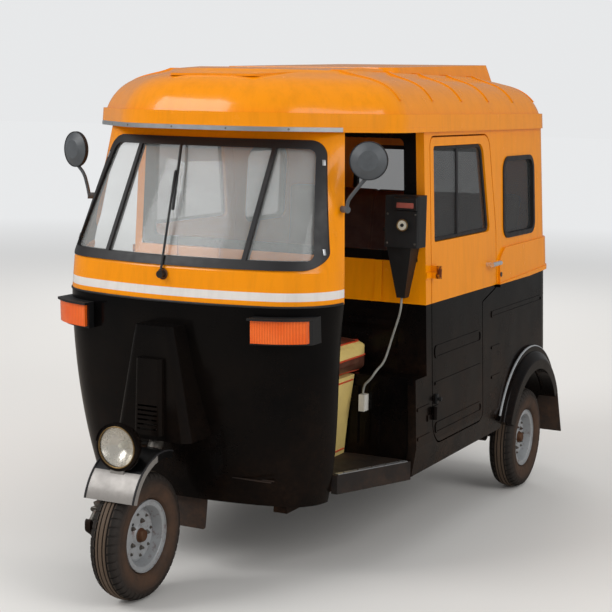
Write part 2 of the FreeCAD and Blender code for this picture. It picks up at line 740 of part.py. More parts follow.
def makeInside():
    # floor: the front part follows the apron, the rear part runs between the sides up to the bench
    apronInner = apronShell(dim.frontWall + dim.restGap, None)
    front = apronInner.common(box(-600, 600, 200, 480, floorUnder, dim.floorZ))
    sideIn = tubHalf(floorUnder, dim.sideWall + 1)
    sillFront = (471, 488)
    sillRear = (604, dim.stepY - 2)
    corners = []
    for side, order in ((1, 1), (-1, -1)):
        run = [(428, 458), (428, sillFront[1]), sillFront, sillRear, (sideIn, sillRear[1]), (sideIn, dim.benchY + 45)]
        corners += [(side * x, y, 0) for x, y in run[::order]]
    rest = prism("XY", corners, floorUnder, dim.floorZ)
    plate = front.fuse(rest)
    for side in (1, -1):
        strip = [(sillFront[0] - 22, sillFront[1]), sillFront, sillRear, (sillRear[0] - 22, sillRear[1])]
        plate = plate.fuse(prism("XY", [(side * x, y, 0) for x, y in strip], floorUnder - 40, floorUnder + 1))
    plate = plate.cut(apronShell(-1, dim.frontWall + dim.restGap))
    feature("floor_pan", plate.removeSplitter())
    # chassis
    railLow = 222
    railHigh = 270
    rails = []
    for side in (1, -1):
        middle = side * dim.railHalf
        rails.append(box(middle - 25, middle + 25, 410, dim.tailY - 50, railLow, railHigh))
    feature("chassis_rails", Part.makeCompound(rails))
    # middle y and half length of each cross member
    beamRows = [(620, 455), (990, 560), (dim.benchY, 560), (dim.wheelbase - 120, 430), (dim.wheelbase + 140, 430)]
    beams = [box(-half, half, y - 30, y + 30, railHigh, floorUnder) for y, half in beamRows]
    feature("cross_members", Part.makeCompound(beams))
    # partition behind the driver, with its window
    wallY = dim.postY
    wall = box(-700, 700, wallY, wallY + 22, dim.floorZ, dim.wallTopZ)
    wall = wall.common(tubBlock(dim.sideWall + dim.restGap, dim.stepY - 100))
    windowOutline = [(-515, 1070, 20), (515, 1070, 20), (500, 1460, 20), (-500, 1460, 20)]
    window = prism("XZ", windowOutline, wallY - 10, wallY + 50)
    recessOutline = [(-500, 670, 30), (500, 670, 30), (500, 796, 30), (-500, 796, 30)]
    recess = prism("XZ", recessOutline, wallY - 1, wallY + 10)
    rail = box(-515, 515, wallY - 10, wallY, 808, 828)
    folds = [box(x - 14, x + 14, wallY - 6, wallY, 890, 1068) for x in (-420, -240, 240, 420)]
    feature("partition", wall.cut(window).cut(recess).fuse([rail] + folds))
    # riser box under the driver's bench with upright ribs
    riser = box(-700, 700, dim.stepY + 8, wallY, dim.floorZ, dim.stepZ)
    riser = riser.common(tubBlock(dim.sideWall + dim.restGap, dim.stepY - 100))
    for x in (-464, -384, -304, 304, 384, 464):
        riser = riser.fuse(box(x - 14, x + 14, dim.stepY - 2, dim.stepY + 8, dim.floorZ + 40, dim.stepZ - 40))
    feature("seat_riser", riser.removeSplitter())


def makeSeats():
    # the driver's bench: a skirted base in front of the riser box and a cushion over both
    gap = dim.restGap
    baseRear = dim.stepY - 2 - gap
    skirt = dim.seatHalf - 10
    base = []
    for half, frontY, lift in ((skirt - 34, 632, dim.floorZ), (skirt - 22, 622, 480), (skirt, 596, dim.stepZ)):
        base.append(loopAt([(-half, frontY, 30), (half, frontY, 30), (half, baseRear, 0), (-half, baseRear, 0)], lift))
    feature("driver_seat_base", Part.makeLoft(base, True, True))
    cushion = prism("YZ", [(560, dim.stepZ + gap, 20), (dim.postY - 12, dim.stepZ + gap, 20),
                           (dim.postY - 12, dim.seatZ, 25), (560, dim.seatZ, 35)], -dim.seatHalf, dim.seatHalf)
    feature("driver_seat_cushion", cushion)
    half = tubHalf(800, dim.sideWall + 4)
    frontWallSolid = box(-half + 2, half - 2, dim.benchY + 20, dim.benchY + 45, dim.floorZ, 690)
    deck = box(-half + 2, half - 2, dim.benchY + 20, dim.tailY - 180, 666, 690)
    feature("bench_base", frontWallSolid.fuse(deck).removeSplitter())
    cushion = prism("YZ", [(dim.benchY, 690 + gap, 20), (1960, 690 + gap, 20), (1960, dim.benchZ, 30),
                           (dim.benchY, dim.benchZ, 40)], -half + 20, half - 20)
    feature("bench_cushion", cushion)
    backHalf = tubHalf(1240, dim.sideWall + 20)
    back = prism("YZ", [(1962, 690 + gap, 15), (2050, 690 + gap, 15), (2120, 1230, 40), (2030, 1230, 40)],
                 -backHalf, backHalf)
    feature("bench_backrest", back)


def sweptAbout(corners, centre, startAngle, turn):
    # corners are (x, radius): a face stood up at startAngle from the rear horizontal, swept forward and over
    face = Part.Face(Part.Wire([piece.toShape() for piece in roundedPath(corners)]))
    face.rotate(Vector(0, 0, 0), Vector(1, 0, 0), startAngle)
    solid = face.revolve(Vector(0, 0, 0), Vector(1, 0, 0), turn)
    solid.translate(centre)
    return solid


# Rear end of a rear mudguard, and how far it runs over the wheel, in degrees
guardEndAngle = 27
guardTurn = 132


def makeRearRunningGear():
    # a hollow pressed mudguard with a flange on the side of the body, and the wheel house inside it
    centre = Vector(0, dim.wheelbase, dim.tyreRadius)
    gauge = dim.steelGauge
    arch = dim.archRadius
    crown = dim.mudguardRadius
    half = dim.mudguardHalf
    inner = dim.railHalf + 150
    solids = []
    for side in (1, -1):
        skin = [(560, arch - gauge, 0), (half, arch - gauge, 0), (half, arch + 36, 20), (half - 22, crown, 14),
                (dim.hipHalf + 10, crown, 0), (dim.hipHalf + 10, dim.mudguardFlange, 3), (560, dim.mudguardFlange, 0)]
        hollow = [(540, arch, 0), (half - gauge, arch, 0), (half - gauge, arch + 34, 16),
                  (half - 24, crown - gauge, 12), (540, crown - gauge, 0)]
        house = [(inner, 70, 0), (inner + gauge, 70, 0), (inner + gauge, arch - gauge, 0), (600, arch - gauge, 0),
                 (600, arch, 0), (inner, arch, 0)]
        guard = sweptAbout(skin, centre, guardEndAngle, guardTurn)
        guard = guard.cut(sweptAbout(hollow, centre, guardEndAngle + 1.5, guardTurn - 3)).cut(tubBlock(0, dim.stepY))
        wheelHouse = sweptAbout(house, centre, guardEndAngle, guardTurn)
        wheelHouse = wheelHouse.common(box(300, tubHalf(450) + 4, 1000, 2600, 0, 1000))
        whole = guard.fuse(wheelHouse).removeSplitter()
        solids.append(whole if side > 0 else mirrorX(whole))
    feature("rear_mudguards", Part.makeCompound(solids))


def revolvedBody(label, corners, placeX, placeY, placeZ):
    # a body turned about its own x axis; corners are (x, radius, corner radius)
    body = doc.addObject("PartDesign::Body", label)
    sketch = body.newObject("Sketcher::SketchObject", label + "Profile")
    plane = [item for item in body.Origin.OriginFeatures if item.Role == "XY_Plane"][0]
    sketch.AttachmentSupport = (plane, [""])
    sketch.MapMode = "FlatFace"
    for piece in roundedPath(corners):
        sketch.addGeometry(piece)
    turned = body.newObject("PartDesign::Revolution", label + "Turned")
    turned.Profile = sketch
    turned.ReferenceAxis = (sketch, ["H_Axis"])
    turned.Angle = 360
    register(body, label)
    body.setExpression(".Placement.Base.x", placeX)
    body.setExpression(".Placement.Base.y", frameShift + " + " + placeY)
    body.setExpression(".Placement.Base.z", placeZ)
    return body


def makeWheels():
    half = dim.tyreWidth / 2
    tread = dim.treadWidth / 2
    inner = dim.seatRadius + dim.restGap
    rimHalf = dim.rimWidth / 2
    gauge = dim.rimGauge
    bead = rimHalf - gauge - dim.restGap
    flange = dim.flangeRadius
    tyre = [(-bead, inner, 4), (bead, inner, 4), (bead, flange + 3, 3),
            (half, 152, 30), (tread, 196, 14), (16, dim.tyreRadius, 60), (-16, dim.tyreRadius, 60),
            (-tread, 196, 14), (-half, 152, 30), (-bead, flange + 3, 3)]
    bore = dim.axleRadius + dim.axlePlay
    wheels = (("front", "0", "0", 1), ("rear_left", "Sizes.rearTrack / 2", "Sizes.wheelbase", 1),
              ("rear_right", "-Sizes.rearTrack / 2", "Sizes.wheelbase", -1))
    for name, placeX, placeY, side in wheels:
        revolvedBody("%s_tyre" % name, tyre, placeX, placeY, "Sizes.tyreRadius")
        # rim: outer side is at +x for the front and left wheels, at -x for the right one
        rim = [(-48, bore, 0), (14, bore, 0), (14, 28, 4), (8, 34, 0), (8, 78, 6), (0, 90, 0),
               (rimHalf - 16, 98 - gauge, 4), (rimHalf, 102 - gauge, 4), (rimHalf, flange - 4, 0),
               (rimHalf + 4, flange - 3, 0), (rimHalf + 4, flange, 2), (rimHalf - gauge, flange, 3),
               (rimHalf - gauge, dim.seatRadius, 3), (rimHalf - 18, dim.seatRadius, 4), (10, 94, 4),
               (-10, 94, 4), (18 - rimHalf, dim.seatRadius, 4), (gauge - rimHalf, dim.seatRadius, 3),
               (gauge - rimHalf, flange, 3), (-rimHalf - 4, flange, 2), (-rimHalf - 4, flange - 3, 0),
               (-rimHalf, flange - 4, 0), (-rimHalf, 102 - gauge, 4), (16 - rimHalf, 98 - gauge, 4), (-8, 90, 0),
               (-2, 80, 0), (-2, 74, 0), (-48, 74, 0)]
        rim = [(side * x, radius, bend) for x, radius, bend in rim]
        revolvedBody("%s_rim" % name, rim, placeX, placeY, "Sizes.tyreRadius")


def makeSteering():
    top = steerPoint(985)
    low = steerPoint(462)
    column = rod(low, top, dim.columnRadius)
    collar = rod(steerPoint(466), steerPoint(510), dim.collarRadius)
    feature("steering_column", column.fuse(collar).removeSplitter())


def makeTrailingArms():
    # each arm swings from the chassis rail and carries a stub axle for its wheel
    arms = []
    pivotY = dim.wheelbase - 360
    pivotZ = 246
    reach = dim.rearTrack / 2 + 20
    for side in (1, -1):
        pivot = rod(Vector(side * (dim.railHalf + 25), pivotY, pivotZ), Vector(side * 425, pivotY, pivotZ), 16)
        beam = rod(Vector(side * 405, pivotY, pivotZ), Vector(side * 425, dim.wheelbase, dim.tyreRadius), 20)
        knuckle = rod(Vector(side * 400, dim.wheelbase, dim.tyreRadius),
                      Vector(side * 445, dim.wheelbase, dim.tyreRadius), 34)
        axle = rod(Vector(side * 440, dim.wheelbase, dim.tyreRadius),
                   Vector(side * reach, dim.wheelbase, dim.tyreRadius), dim.axleRadius)
        arms.append(pivot.fuse(beam).fuse(knuckle).fuse(axle).removeSplitter())
    feature("trailing_arms", Part.makeCompound(arms))


def shockShape(start, end, radius, coils):
    # damper, rod and spring as one turned profile between two eyes
    length = (end - start).Length
    springLow = length * 0.22
    springHigh = length * 0.9
    pitch = (springHigh - springLow) / coils
    corners = [(0, 0, 0), (0, 11, 0), (springLow - 4, 11, 0), (springLow - 4, radius, 0), (springLow, radius, 0)]
    for coil in range(coils):
        corners.append((springLow + pitch * (coil + 0.5), radius - 9, 0))
        corners.append((springLow + pitch * (coil + 1), radius, 0))
    corners += [(springHigh + 4, radius, 0), (springHigh + 4, 11, 0), (length, 11, 0), (length, 0, 0)]
    face = Part.Face(Part.Wire([piece.toShape() for piece in roundedPath(corners)]))
    solid = face.revolve(Vector(0, 0, 0), Vector(1, 0, 0), 360)
    solid.Placement = Placement(start, Rotation(Vector(1, 0, 0), end - start))
    return solid


def makeShocks():
    seat = 666
    shocks = []
    for side in (1, -1):
        shockY = dim.wheelbase - 50
        start = Vector(side * 412, shockY, 234)
        shocks.append(shockShape(start, Vector(side * 412, shockY, seat), 26, 9))
    feature("rear_shocks", Part.makeCompound(shocks))
    feature("front_shock", shockShape(Vector(-128, -66, 244), Vector(-128, 82, 392), 22, 7))


def makeUnderside():
    feature("engine_block", box(-230, 230, dim.wheelbase - 200, dim.wheelbase + 200, floorUnder, 620))
    # mudflaps hang from the rear ends of the rear mudguards and from the floor behind the front wheel
    flaps = []
    fixing = dim.archRadius + 40
    thick = 7
    angle = math.radians(guardEndAngle)
    seat = []
    for reach in (fixing - thick, fixing):
        seat.append((dim.wheelbase + reach * math.cos(angle) + dim.restGap * math.sin(angle),
                     dim.tyreRadius + reach * math.sin(angle) - dim.restGap * math.cos(angle), 0))
    footY = seat[1][0] + 78
    footZ = 168
    for side in (1, -1):
        low, high = sorted((side * (tubHalf(dim.sillZ) - 44), side * (dim.mudguardHalf - 3)))
        flap = prism("YZ", seat + [(footY, footZ, 3), (footY - thick, footZ, 3)], low, high)
        flaps.append(flap.cut(tubBlock(-4, dim.stepY)))
    flapHalf = 70
    bow = flapHalf ** 2 / (2 * (dim.noseRadius - dim.frontWall))
    behind = apronSections[0][1] + dim.frontWall + bow + dim.restGap
    flaps.append(prism("XZ", [(-flapHalf, 300, 0), (flapHalf, 300, 0), (flapHalf - 12, 150, 8),
                        (12 - flapHalf, 150, 8)], behind, behind + 6))
    feature("mudflaps", Part.makeCompound(flaps))


def makeLamps():
    seat = box(304, 476, 100, 500, 822, 902)
    visor = box(304, 476, 100, 500, 902, 909)
    face = box(312, 468, 100, 500, 829, 901)
    housing = apronShell(-30, -dim.restGap).common(seat).fuse(apronShell(-52, -dim.restGap).common(visor))
    lens = apronShell(-44, -30 - dim.restGap).common(face)
    housing = housing.removeSplitter()
    feature("indicator_housings", Part.makeCompound([housing, mirrorX(housing)]))
    feature("indicator_lenses", Part.makeCompound([lens, mirrorX(lens)]))
    tails = [prism("XZ", [(side * 385, 650, 8), (side * 440, 650, 8), (side * 440, 790, 8), (side * 385, 790, 8)],
                   dim.tailY, dim.tailY + 24) for side in (1, -1)]
    feature("tail_lamps", Part.makeCompound(tails))


def makeBumper():
    bar = prism("XY", [(-520, bumperBackY - 32, 8), (-520, bumperBackY, 20), (520, bumperBackY, 20),
                       (520, bumperBackY - 32, 8)], 345, 405)
    for side in (1, -1):
        bar = bar.fuse(box(side * 250 - 20, side * 250 + 20, dim.tailY, bumperBackY - 30, 360, 390))
    feature("rear_bumper", bar.removeSplitter())


# Route of the meter's lead, from the bracket down to its connector on the riser box
cordRadius = 4
cordRoute = [
    (520, 874, 912), (520, 874, 872), (502, 880, 818), (484, 882, 764), (472, 878, 716),
    (472, 842, 680), (466, 798, 662), (450, 784, 630), (423, 783, 606), (423, 783, 574),
]


def makeMeter():
    caseFoot = 1092
    case = box(474, 600, 812, 890, caseFoot, 1270)
    case = case.makeFillet(8, [edge for edge in case.Edges if abs(edge.tangentAt(0).z) > 0.9])
    hood = prism("YZ", [(812, 1218, 0), (800, 1222, 0), (794, 1262, 3), (812, 1268, 0)], 516, 596)
    dial = rod(Vector(547, 798, 1170), Vector(547, 812, 1170), 20)
    knob = rod(Vector(474, 840, 1150), Vector(462, 840, 1150), 9)
    wide = [Vector(482, 820, caseFoot), Vector(572, 820, caseFoot), Vector(572, dim.postY, caseFoot),
            Vector(482, dim.postY, caseFoot)]
    narrow = [Vector(506, 862, 912), Vector(536, 862, 912), Vector(536, dim.postY, 912), Vector(506, dim.postY, 912)]
    bracket = Part.makeLoft([Part.makePolygon(wide + wide[:1]), Part.makePolygon(narrow + narrow[:1])], True, True)
    feature("fare_meter", case.fuse([hood, dial, knob, bracket]).removeSplitter())
    lead, radii, drawn = tube([Vector(*point) for point in cordRoute], cordRadius)
    print("meter_cord bend radii", ["%.0f" % radius for radius in radii])
    print("meter_cord volume %.0f, section times length %.0f" % (lead.Volume, drawn))
    feature("meter_cord", lead)
    low = Vector(*cordRoute[-1])
    feature("cord_connector", box(low.x - 11, low.x + 11, low.y - 11, dim.stepY + 8, low.z - 58, low.z))


def makeMirrors():
    # round mirrors on bent stems, their glass turned in towards the driver
    mirrors = []
    for side, centreX in ((1, 578), (-1, 546)):
        base = Vector(side * 478, 470, 1240)
        out = unit(Vector(side * 0.82, -0.57, 0))
        centre = Vector(side * centreX, 440, 1400)
        foot = rod(base - out * 6, base + out * 30, 11)
        stemEnd = centre + Vector(0, 4, -10)
        bend = Vector(stemEnd.x - side * 2, 442, 1352)
        stem, radii, drawn = tube([base + out * 24, base + out * 26 + Vector(side * 3, -2, 30),
                                   Vector(side * (centreX - 34), 446, 1318), bend, stemEnd], 6)
        facing = Rotation(Vector(0, 0, 1), side * 18).multVec(Vector(0, 1, 0))
        disc = Part.makeCylinder(60, 10, centre, facing)
        shell = Part.makeCone(60, 32, 14, centre, facing * (-1))
        mirrors.append(foot.fuse([stem, disc, shell]).cut(cabShell(0, dim.frontWall)).removeSplitter())
    feature("mirrors", Part.makeCompound(mirrors))


def makeWiper():
    # the blade stands on the middle pane
    def onGlass(x, z, proud):
        low = cabSections[1]
        high = cabSections[2]
        share = (z - low[0]) / (high[0] - low[0])
        return Vector(x, low[1] + (high[1] - low[1]) * share - proud, z)

    pivot = Vector(-17, 0, 1025)
    nose = 176
    boss = rod(Vector(pivot.x, nose + 4, pivot.z), Vector(pivot.x, nose - 24, pivot.z), 12)
    armLow = Vector(pivot.x, nose - 18, pivot.z)
    armHigh = onGlass(-64, 1346, 30)
    arm = rod(armLow, armHigh, 4)
    blade = rod(onGlass(-36, 1226, 20), onGlass(-78, 1433, 20), 5)
    link = rod(armHigh, onGlass(-62, 1346, 20), 4)
    whole = boss.fuse(arm).fuse(link).fuse(blade).cut(cabShell(0, dim.frontWall)).removeSplitter()
    feature("wiper", whole)


def makeHandlebar():
    half = [(75, 356, 1004), (180, 432, 1000), (285, 478, 985)]
    points = [(-x, y, z) for x, y, z in half[::-1]] + half
    bar, radii, drawn = tube([Vector(*point) for point in points], 12)
    for first, second in ((points[0], points[1]), (points[-1], points[-2])):
        outer = Vector(*first)
        inner = Vector(*second)
        bar = bar.fuse(rod(outer, outer + unit(inner - outer) * 100, 17))
    pod = box(-60, 60, 345, 400, 985, 1022)
    column = rod(steerPoint(462), steerPoint(985), dim.columnRadius)
    feature("handlebar", bar.fuse(pod).cut(column).removeSplitter())


def makeForkArm():
    legX = -128
    points = [Vector(0, 104, 458), Vector(-72, 108, 452), Vector(legX, 112, 405), Vector(legX, 108, 320),
              Vector(legX, 100, 240)]
    leg, radii, drawn = tube(points, 18)
    link = prism("YZ", [(-88, 222, 20), (-88, 262, 16), (118, 262, 20), (118, 196, 20), (-20, 176, 20)],
                 legX - 10, legX + 10)
    plate = rod(Vector(legX - 14, 0, dim.tyreRadius), Vector(legX + 40, 0, dim.tyreRadius), 30)
    axle = rod(Vector(legX, 0, dim.tyreRadius), Vector(20, 0, dim.tyreRadius), dim.axleRadius)
    whole = leg.fuse(link).fuse(plate).fuse(axle)
    whole = whole.cut(rod(steerPoint(440), steerPoint(700), dim.collarRadius))
    whole = whole.cut(shockEnvelope())
    feature("fork_arm", whole.removeSplitter())


def shockEnvelope():
    return rod(Vector(-128, -66, 244), Vector(-128, 82, 392), 23)


def makeFrontMudguard():
    # a short hood over the tyre: curved top plate, stiffened along both sides
    gauge = dim.steelGauge
    rows = [(-158, 352), (-68, 464), (70, 476)]
    first, middle, last = [Vector(0, y, z) for y, z in rows]
    circle = Part.Arc(first, middle, last).toShape().Curve
    centre = circle.Center
    radius = circle.Radius

    def strip(low, high, fromX, toX):
        arcs = []
        for reach in (high, low):
            arcs.append([centre + unit(point - centre) * reach for point in (first, middle, last)])
        outer, inner = arcs
        edges = [Part.Arc(*outer).toShape(), Part.LineSegment(outer[2], inner[2]).toShape(),
                 Part.Arc(*inner[::-1]).toShape(), Part.LineSegment(inner[0], outer[0]).toShape()]
        face = Part.Face(Part.Wire(edges))
        face.translate(Vector(fromX, 0, 0))
        return face.extrude(Vector(toX - fromX, 0, 0))

    half = 90
    plate = strip(radius - gauge, radius, -half, half)
    for side in (1, -1):
        edgeX = side * (half - gauge / 2)
        plate = plate.fuse(strip(radius - 22, radius, edgeX - gauge / 2, edgeX + gauge / 2))
    stay = box(-22, 22, 60, 100, 440, 474).cut(rod(steerPoint(400), steerPoint(700), dim.collarRadius))
    bracket = box(-24, 24, dim.lampY + 2, dim.lampY + 15, dim.lampZ - dim.lampRadius - 30, dim.lampZ - 60)
    bracket = bracket.cut(lampEnvelope(dim.restGap)).common(strip(radius - 20, radius + 60, -30, 30))
    whole = plate.fuse(stay).cut(forkTube()).cut(lampEnvelope(4)).fuse(bracket)
    feature("front_mudguard", whole.removeSplitter())


def forkTube():
    return rod(Vector(40, 102, 460), Vector(-72, 108, 452), 19)


def lampEnvelope(clear):
    # the headlamp's drum and bowl, grown by a clearance
    radius = dim.lampRadius + clear
    corners = [(-40, 0, 0), (-40, radius, 0), (20, radius, 0), (58, radius - 14, 0), (96, 30, 0), (96, 0, 0)]
    face = Part.Face(Part.Wire([piece.toShape() for piece in roundedPath(corners)]))
    solid = face.revolve(Vector(0, 0, 0), Vector(1, 0, 0), 360)
    solid.rotate(Vector(0, 0, 0), Vector(0, 0, 1), 90)
    solid.translate(Vector(0, dim.lampY, dim.lampZ))
    return solid


def makeHeadlamp():
    radius = dim.lampRadius
    shell = [(0, radius - 12, 0), (0, radius, 3), (16, radius, 3), (18, radius - 4, 0), (56, radius - 18, 30),
             (92, 20, 12), (92, 0, 0), (88, 0, 0), (88, 16, 12), (54, radius - 22, 30), (16, radius - 8, 0),
             (4, radius - 8, 0), (4, radius - 12, 0)]
    shell = turnedBody("headlamp_shell", shell)
    lens = [(-8, 0, 0), (-4, 40, 40), (4.3, radius - 12.3, 0), (7, radius - 12.3, 0), (7, 0, 0)]
    turnedBody("headlamp_lens", lens)


def turnedBody(label, corners):
    # a body turned about the headlamp's axis; corners are (depth behind the rim, radius, corner radius)
    body = revolvedBody(label, corners, "0", "Sizes.lampY", "Sizes.lampZ")
    body.Placement = Placement(body.Placement.Base, Rotation(Vector(0, 0, 1), 90))
    return body


makeFront()
makeCowl()
makeSteeringHead()
makeRoof()
makeSides()
makeDoors()
makeHatch()
makeWindows()
makeInside()
makeSeats()
makeRearRunningGear()
makeWheels()
makeSteering()
makeForkArm()
makeFrontMudguard()
makeHeadlamp()
makeHandlebar()
makeTrailingArms()
makeShocks()
makeUnderside()
makeLamps()
makeBumper()
makeMeter()
makeMirrors()
makeWiper()
doc.recompute()

faults = [item.Name for item in doc.Objects if "Invalid" in item.State or "Error" in item.State]
for item in subParts:
    if item.Shape.isNull() or not item.Shape.isValid() or not item.Shape.Solids:
        faults.append(item.Label)
    print("%-22s solids %d volume %.0f" % (item.Label, len(item.Shape.Solids), item.Shape.Volume))
if faults:
    raise RuntimeError("these did not build: " + ", ".join(faults))

os.makedirs("parts", exist_ok=True)
for item in subParts:
    item.Shape.exportStep("parts/%s.step" % item.Label)
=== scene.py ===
import json
import math

import bmesh
import bpy
from mathutils import Matrix, Vector
from mathutils.bvhtree import BVHTree


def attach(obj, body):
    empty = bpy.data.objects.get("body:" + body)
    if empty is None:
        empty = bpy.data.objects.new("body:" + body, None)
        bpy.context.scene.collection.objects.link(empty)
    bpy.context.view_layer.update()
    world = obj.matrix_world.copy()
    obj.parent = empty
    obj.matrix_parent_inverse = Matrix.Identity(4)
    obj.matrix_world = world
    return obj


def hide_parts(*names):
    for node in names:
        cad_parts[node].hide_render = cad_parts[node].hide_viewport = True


# Auto rickshaw: finishes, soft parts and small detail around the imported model, in metres

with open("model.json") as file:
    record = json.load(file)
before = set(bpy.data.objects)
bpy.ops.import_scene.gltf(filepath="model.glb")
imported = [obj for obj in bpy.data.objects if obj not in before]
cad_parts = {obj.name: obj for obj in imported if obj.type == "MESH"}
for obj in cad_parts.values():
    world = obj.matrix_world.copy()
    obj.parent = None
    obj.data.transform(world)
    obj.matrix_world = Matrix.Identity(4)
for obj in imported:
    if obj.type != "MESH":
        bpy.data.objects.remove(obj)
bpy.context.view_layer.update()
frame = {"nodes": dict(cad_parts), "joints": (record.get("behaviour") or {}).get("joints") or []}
nodes = frame["nodes"]
joints = {joint["name"]: joint for joint in frame["joints"]}
frontAxle = Vector(joints["front_wheel_spin"]["pos_m"])
leftAxle = Vector(joints["rear_wheel_left_spin"]["pos_m"])
rightAxle = Vector(joints["rear_wheel_right_spin"]["pos_m"])
print("frame loaded:", len(nodes), "nodes")


def place(x, y, z):
    # a point given from the front axle: x to the vehicle's left, y back, z from the ground
    return Vector((x, y + frontAxle.y, z))


# Node trees

def addNode(tree, kind, inputs=None, **settings):
    node = tree.nodes.new(kind)
    for key, value in settings.items():
        setattr(node, key, value)
    for key, value in (inputs or {}).items():
        if isinstance(value, bpy.types.NodeSocket):
            tree.links.new(value, node.inputs[key])
        else:
            node.inputs[key].default_value = value
    return node


def srgb(red, green, blue):
    # a colour as it looks on screen, 0 to 255, made linear
    linear = []
    for part in (red, green, blue):
        part = part / 255
        linear.append(part / 12.92 if part < 0.04045 else ((part + 0.055) / 1.055) ** 2.4)
    return (*linear, 1.0)


def newMaterial(name, **sockets):
    material = bpy.data.materials.new(name)
    material.use_nodes = True
    shader = material.node_tree.nodes["Principled BSDF"]
    for key, value in sockets.items():
        shader.inputs[key.replace("_", " ")].default_value = value
    return material, material.node_tree, shader


def objectPoint(tree):
    return addNode(tree, "ShaderNodeTexCoord").outputs["Object"]


def noiseValue(tree, point, scale, detail=3.0, rough=0.55):
    node = addNode(tree, "ShaderNodeTexNoise", {"Vector": point, "Scale": scale, "Detail": detail,
                                                "Roughness": rough})
    return node.outputs["Fac"]


def ramp(tree, value, low, high, toLow=0.0, toHigh=1.0):
    node = addNode(tree, "ShaderNodeMapRange", {"Value": value, "From Min": low, "From Max": high,
                                                "To Min": toLow, "To Max": toHigh})
    return node.outputs["Result"]


def calc(tree, operation, first, second=0.0):
    node = addNode(tree, "ShaderNodeMath", {0: first, 1: second}, operation=operation)
    return node.outputs["Value"]


def mixColour(tree, share, first, second, blend="MIX"):
    node = addNode(tree, "ShaderNodeMix", {"Factor": share, "A": first, "B": second},
                   data_type="RGBA", blend_type=blend)
    return node.outputs["Result"]


def setBump(tree, shader, height, strength, distance):
    bump = addNode(tree, "ShaderNodeBump", {"Height": height, "Strength": strength, "Distance": distance})
    tree.links.new(bump.outputs["Normal"], shader.inputs["Normal"])


def link(tree, output, shader, name):
    tree.links.new(output, shader.inputs[name])


def times(tree, first, *others):
    for other in others:
        first = calc(tree, "MULTIPLY", first, other)
    return first


def axesOf(tree, point):
    return addNode(tree, "ShaderNodeSeparateXYZ", {0: point}).outputs


def patches(tree, point, scale, low, high, toLow=0.0, toHigh=1.0, detail=6.0, rough=0.7):
    # noise stretched between two of its levels
    return ramp(tree, noiseValue(tree, point, scale, detail, rough), low, high, toLow, toHigh)


def toned(tone, share, lift=0.0):
    return [part * share + lift for part in tone[:3]] + [1.0]


# Colours as they look in daylight
colours = {
    "yellow": srgb(243, 146, 2),
    "black": srgb(6, 6, 7),
    "stripe": srgb(226, 220, 214),
    "dust": srgb(120, 82, 54),
    "dustPale": srgb(158, 130, 104),
    "rust": srgb(96, 44, 22),
    "brown": srgb(80, 38, 27),
    "cream": srgb(222, 196, 120),
    "piping": srgb(200, 62, 30),
    # painted shade for the tyre grooves
    "paintedGrooveShade": (0.006, 0.005, 0.004, 1.0),
}


def dustOver(tree, point, colour, amount, height):
    # road dust, thicker low down and in drifting patches; gives the colour and the share of dust
    low = ramp(tree, axesOf(tree, point)["Z"], height, 0.1, 0.0, 1.0)
    patch = patches(tree, point, 5.0, 0.42, 0.85, rough=0.65)
    fine = patches(tree, point, 60.0, 0.35, 0.9, detail=4.0)
    share = times(tree, low, amount, calc(tree, "ADD", patch, 0.12), calc(tree, "ADD", fine, 0.25))
    share = addNode(tree, "ShaderNodeClamp", {"Value": share}).outputs["Result"]
    return mixColour(tree, share, colour, colours["dust"]), share


# Upper door hinges, which have lost their paint
hingeArea = {"out": 0.6175, "low": 0.9, "front": -0.178, "rear": -0.128}


def hingeShare(tree, point):
    axes = axesOf(tree, point)
    out = calc(tree, "GREATER_THAN", calc(tree, "ABSOLUTE", axes["X"]), hingeArea["out"])
    high = calc(tree, "GREATER_THAN", axes["Z"], hingeArea["low"])
    behind = calc(tree, "GREATER_THAN", axes["Y"], hingeArea["front"])
    before = calc(tree, "LESS_THAN", axes["Y"], hingeArea["rear"])
    worn = patches(tree, point, 90.0, 0.25, 0.55, detail=5.0, rough=0.55)
    return times(tree, out, high, behind, before, worn)


# Enamel: how much it reflects in black and in yellow, its grime streaks, dents and orange peel
enamel = {"blackShine": 0.09, "yellowShine": 0.22, "blackCoat": 0.3, "streaks": (9.0, 9.0, 1.2),
          "grimeTo": 0.82, "fade": 0.015, "scuff": 0.16, "dents": 4.0, "peel": 0.06}


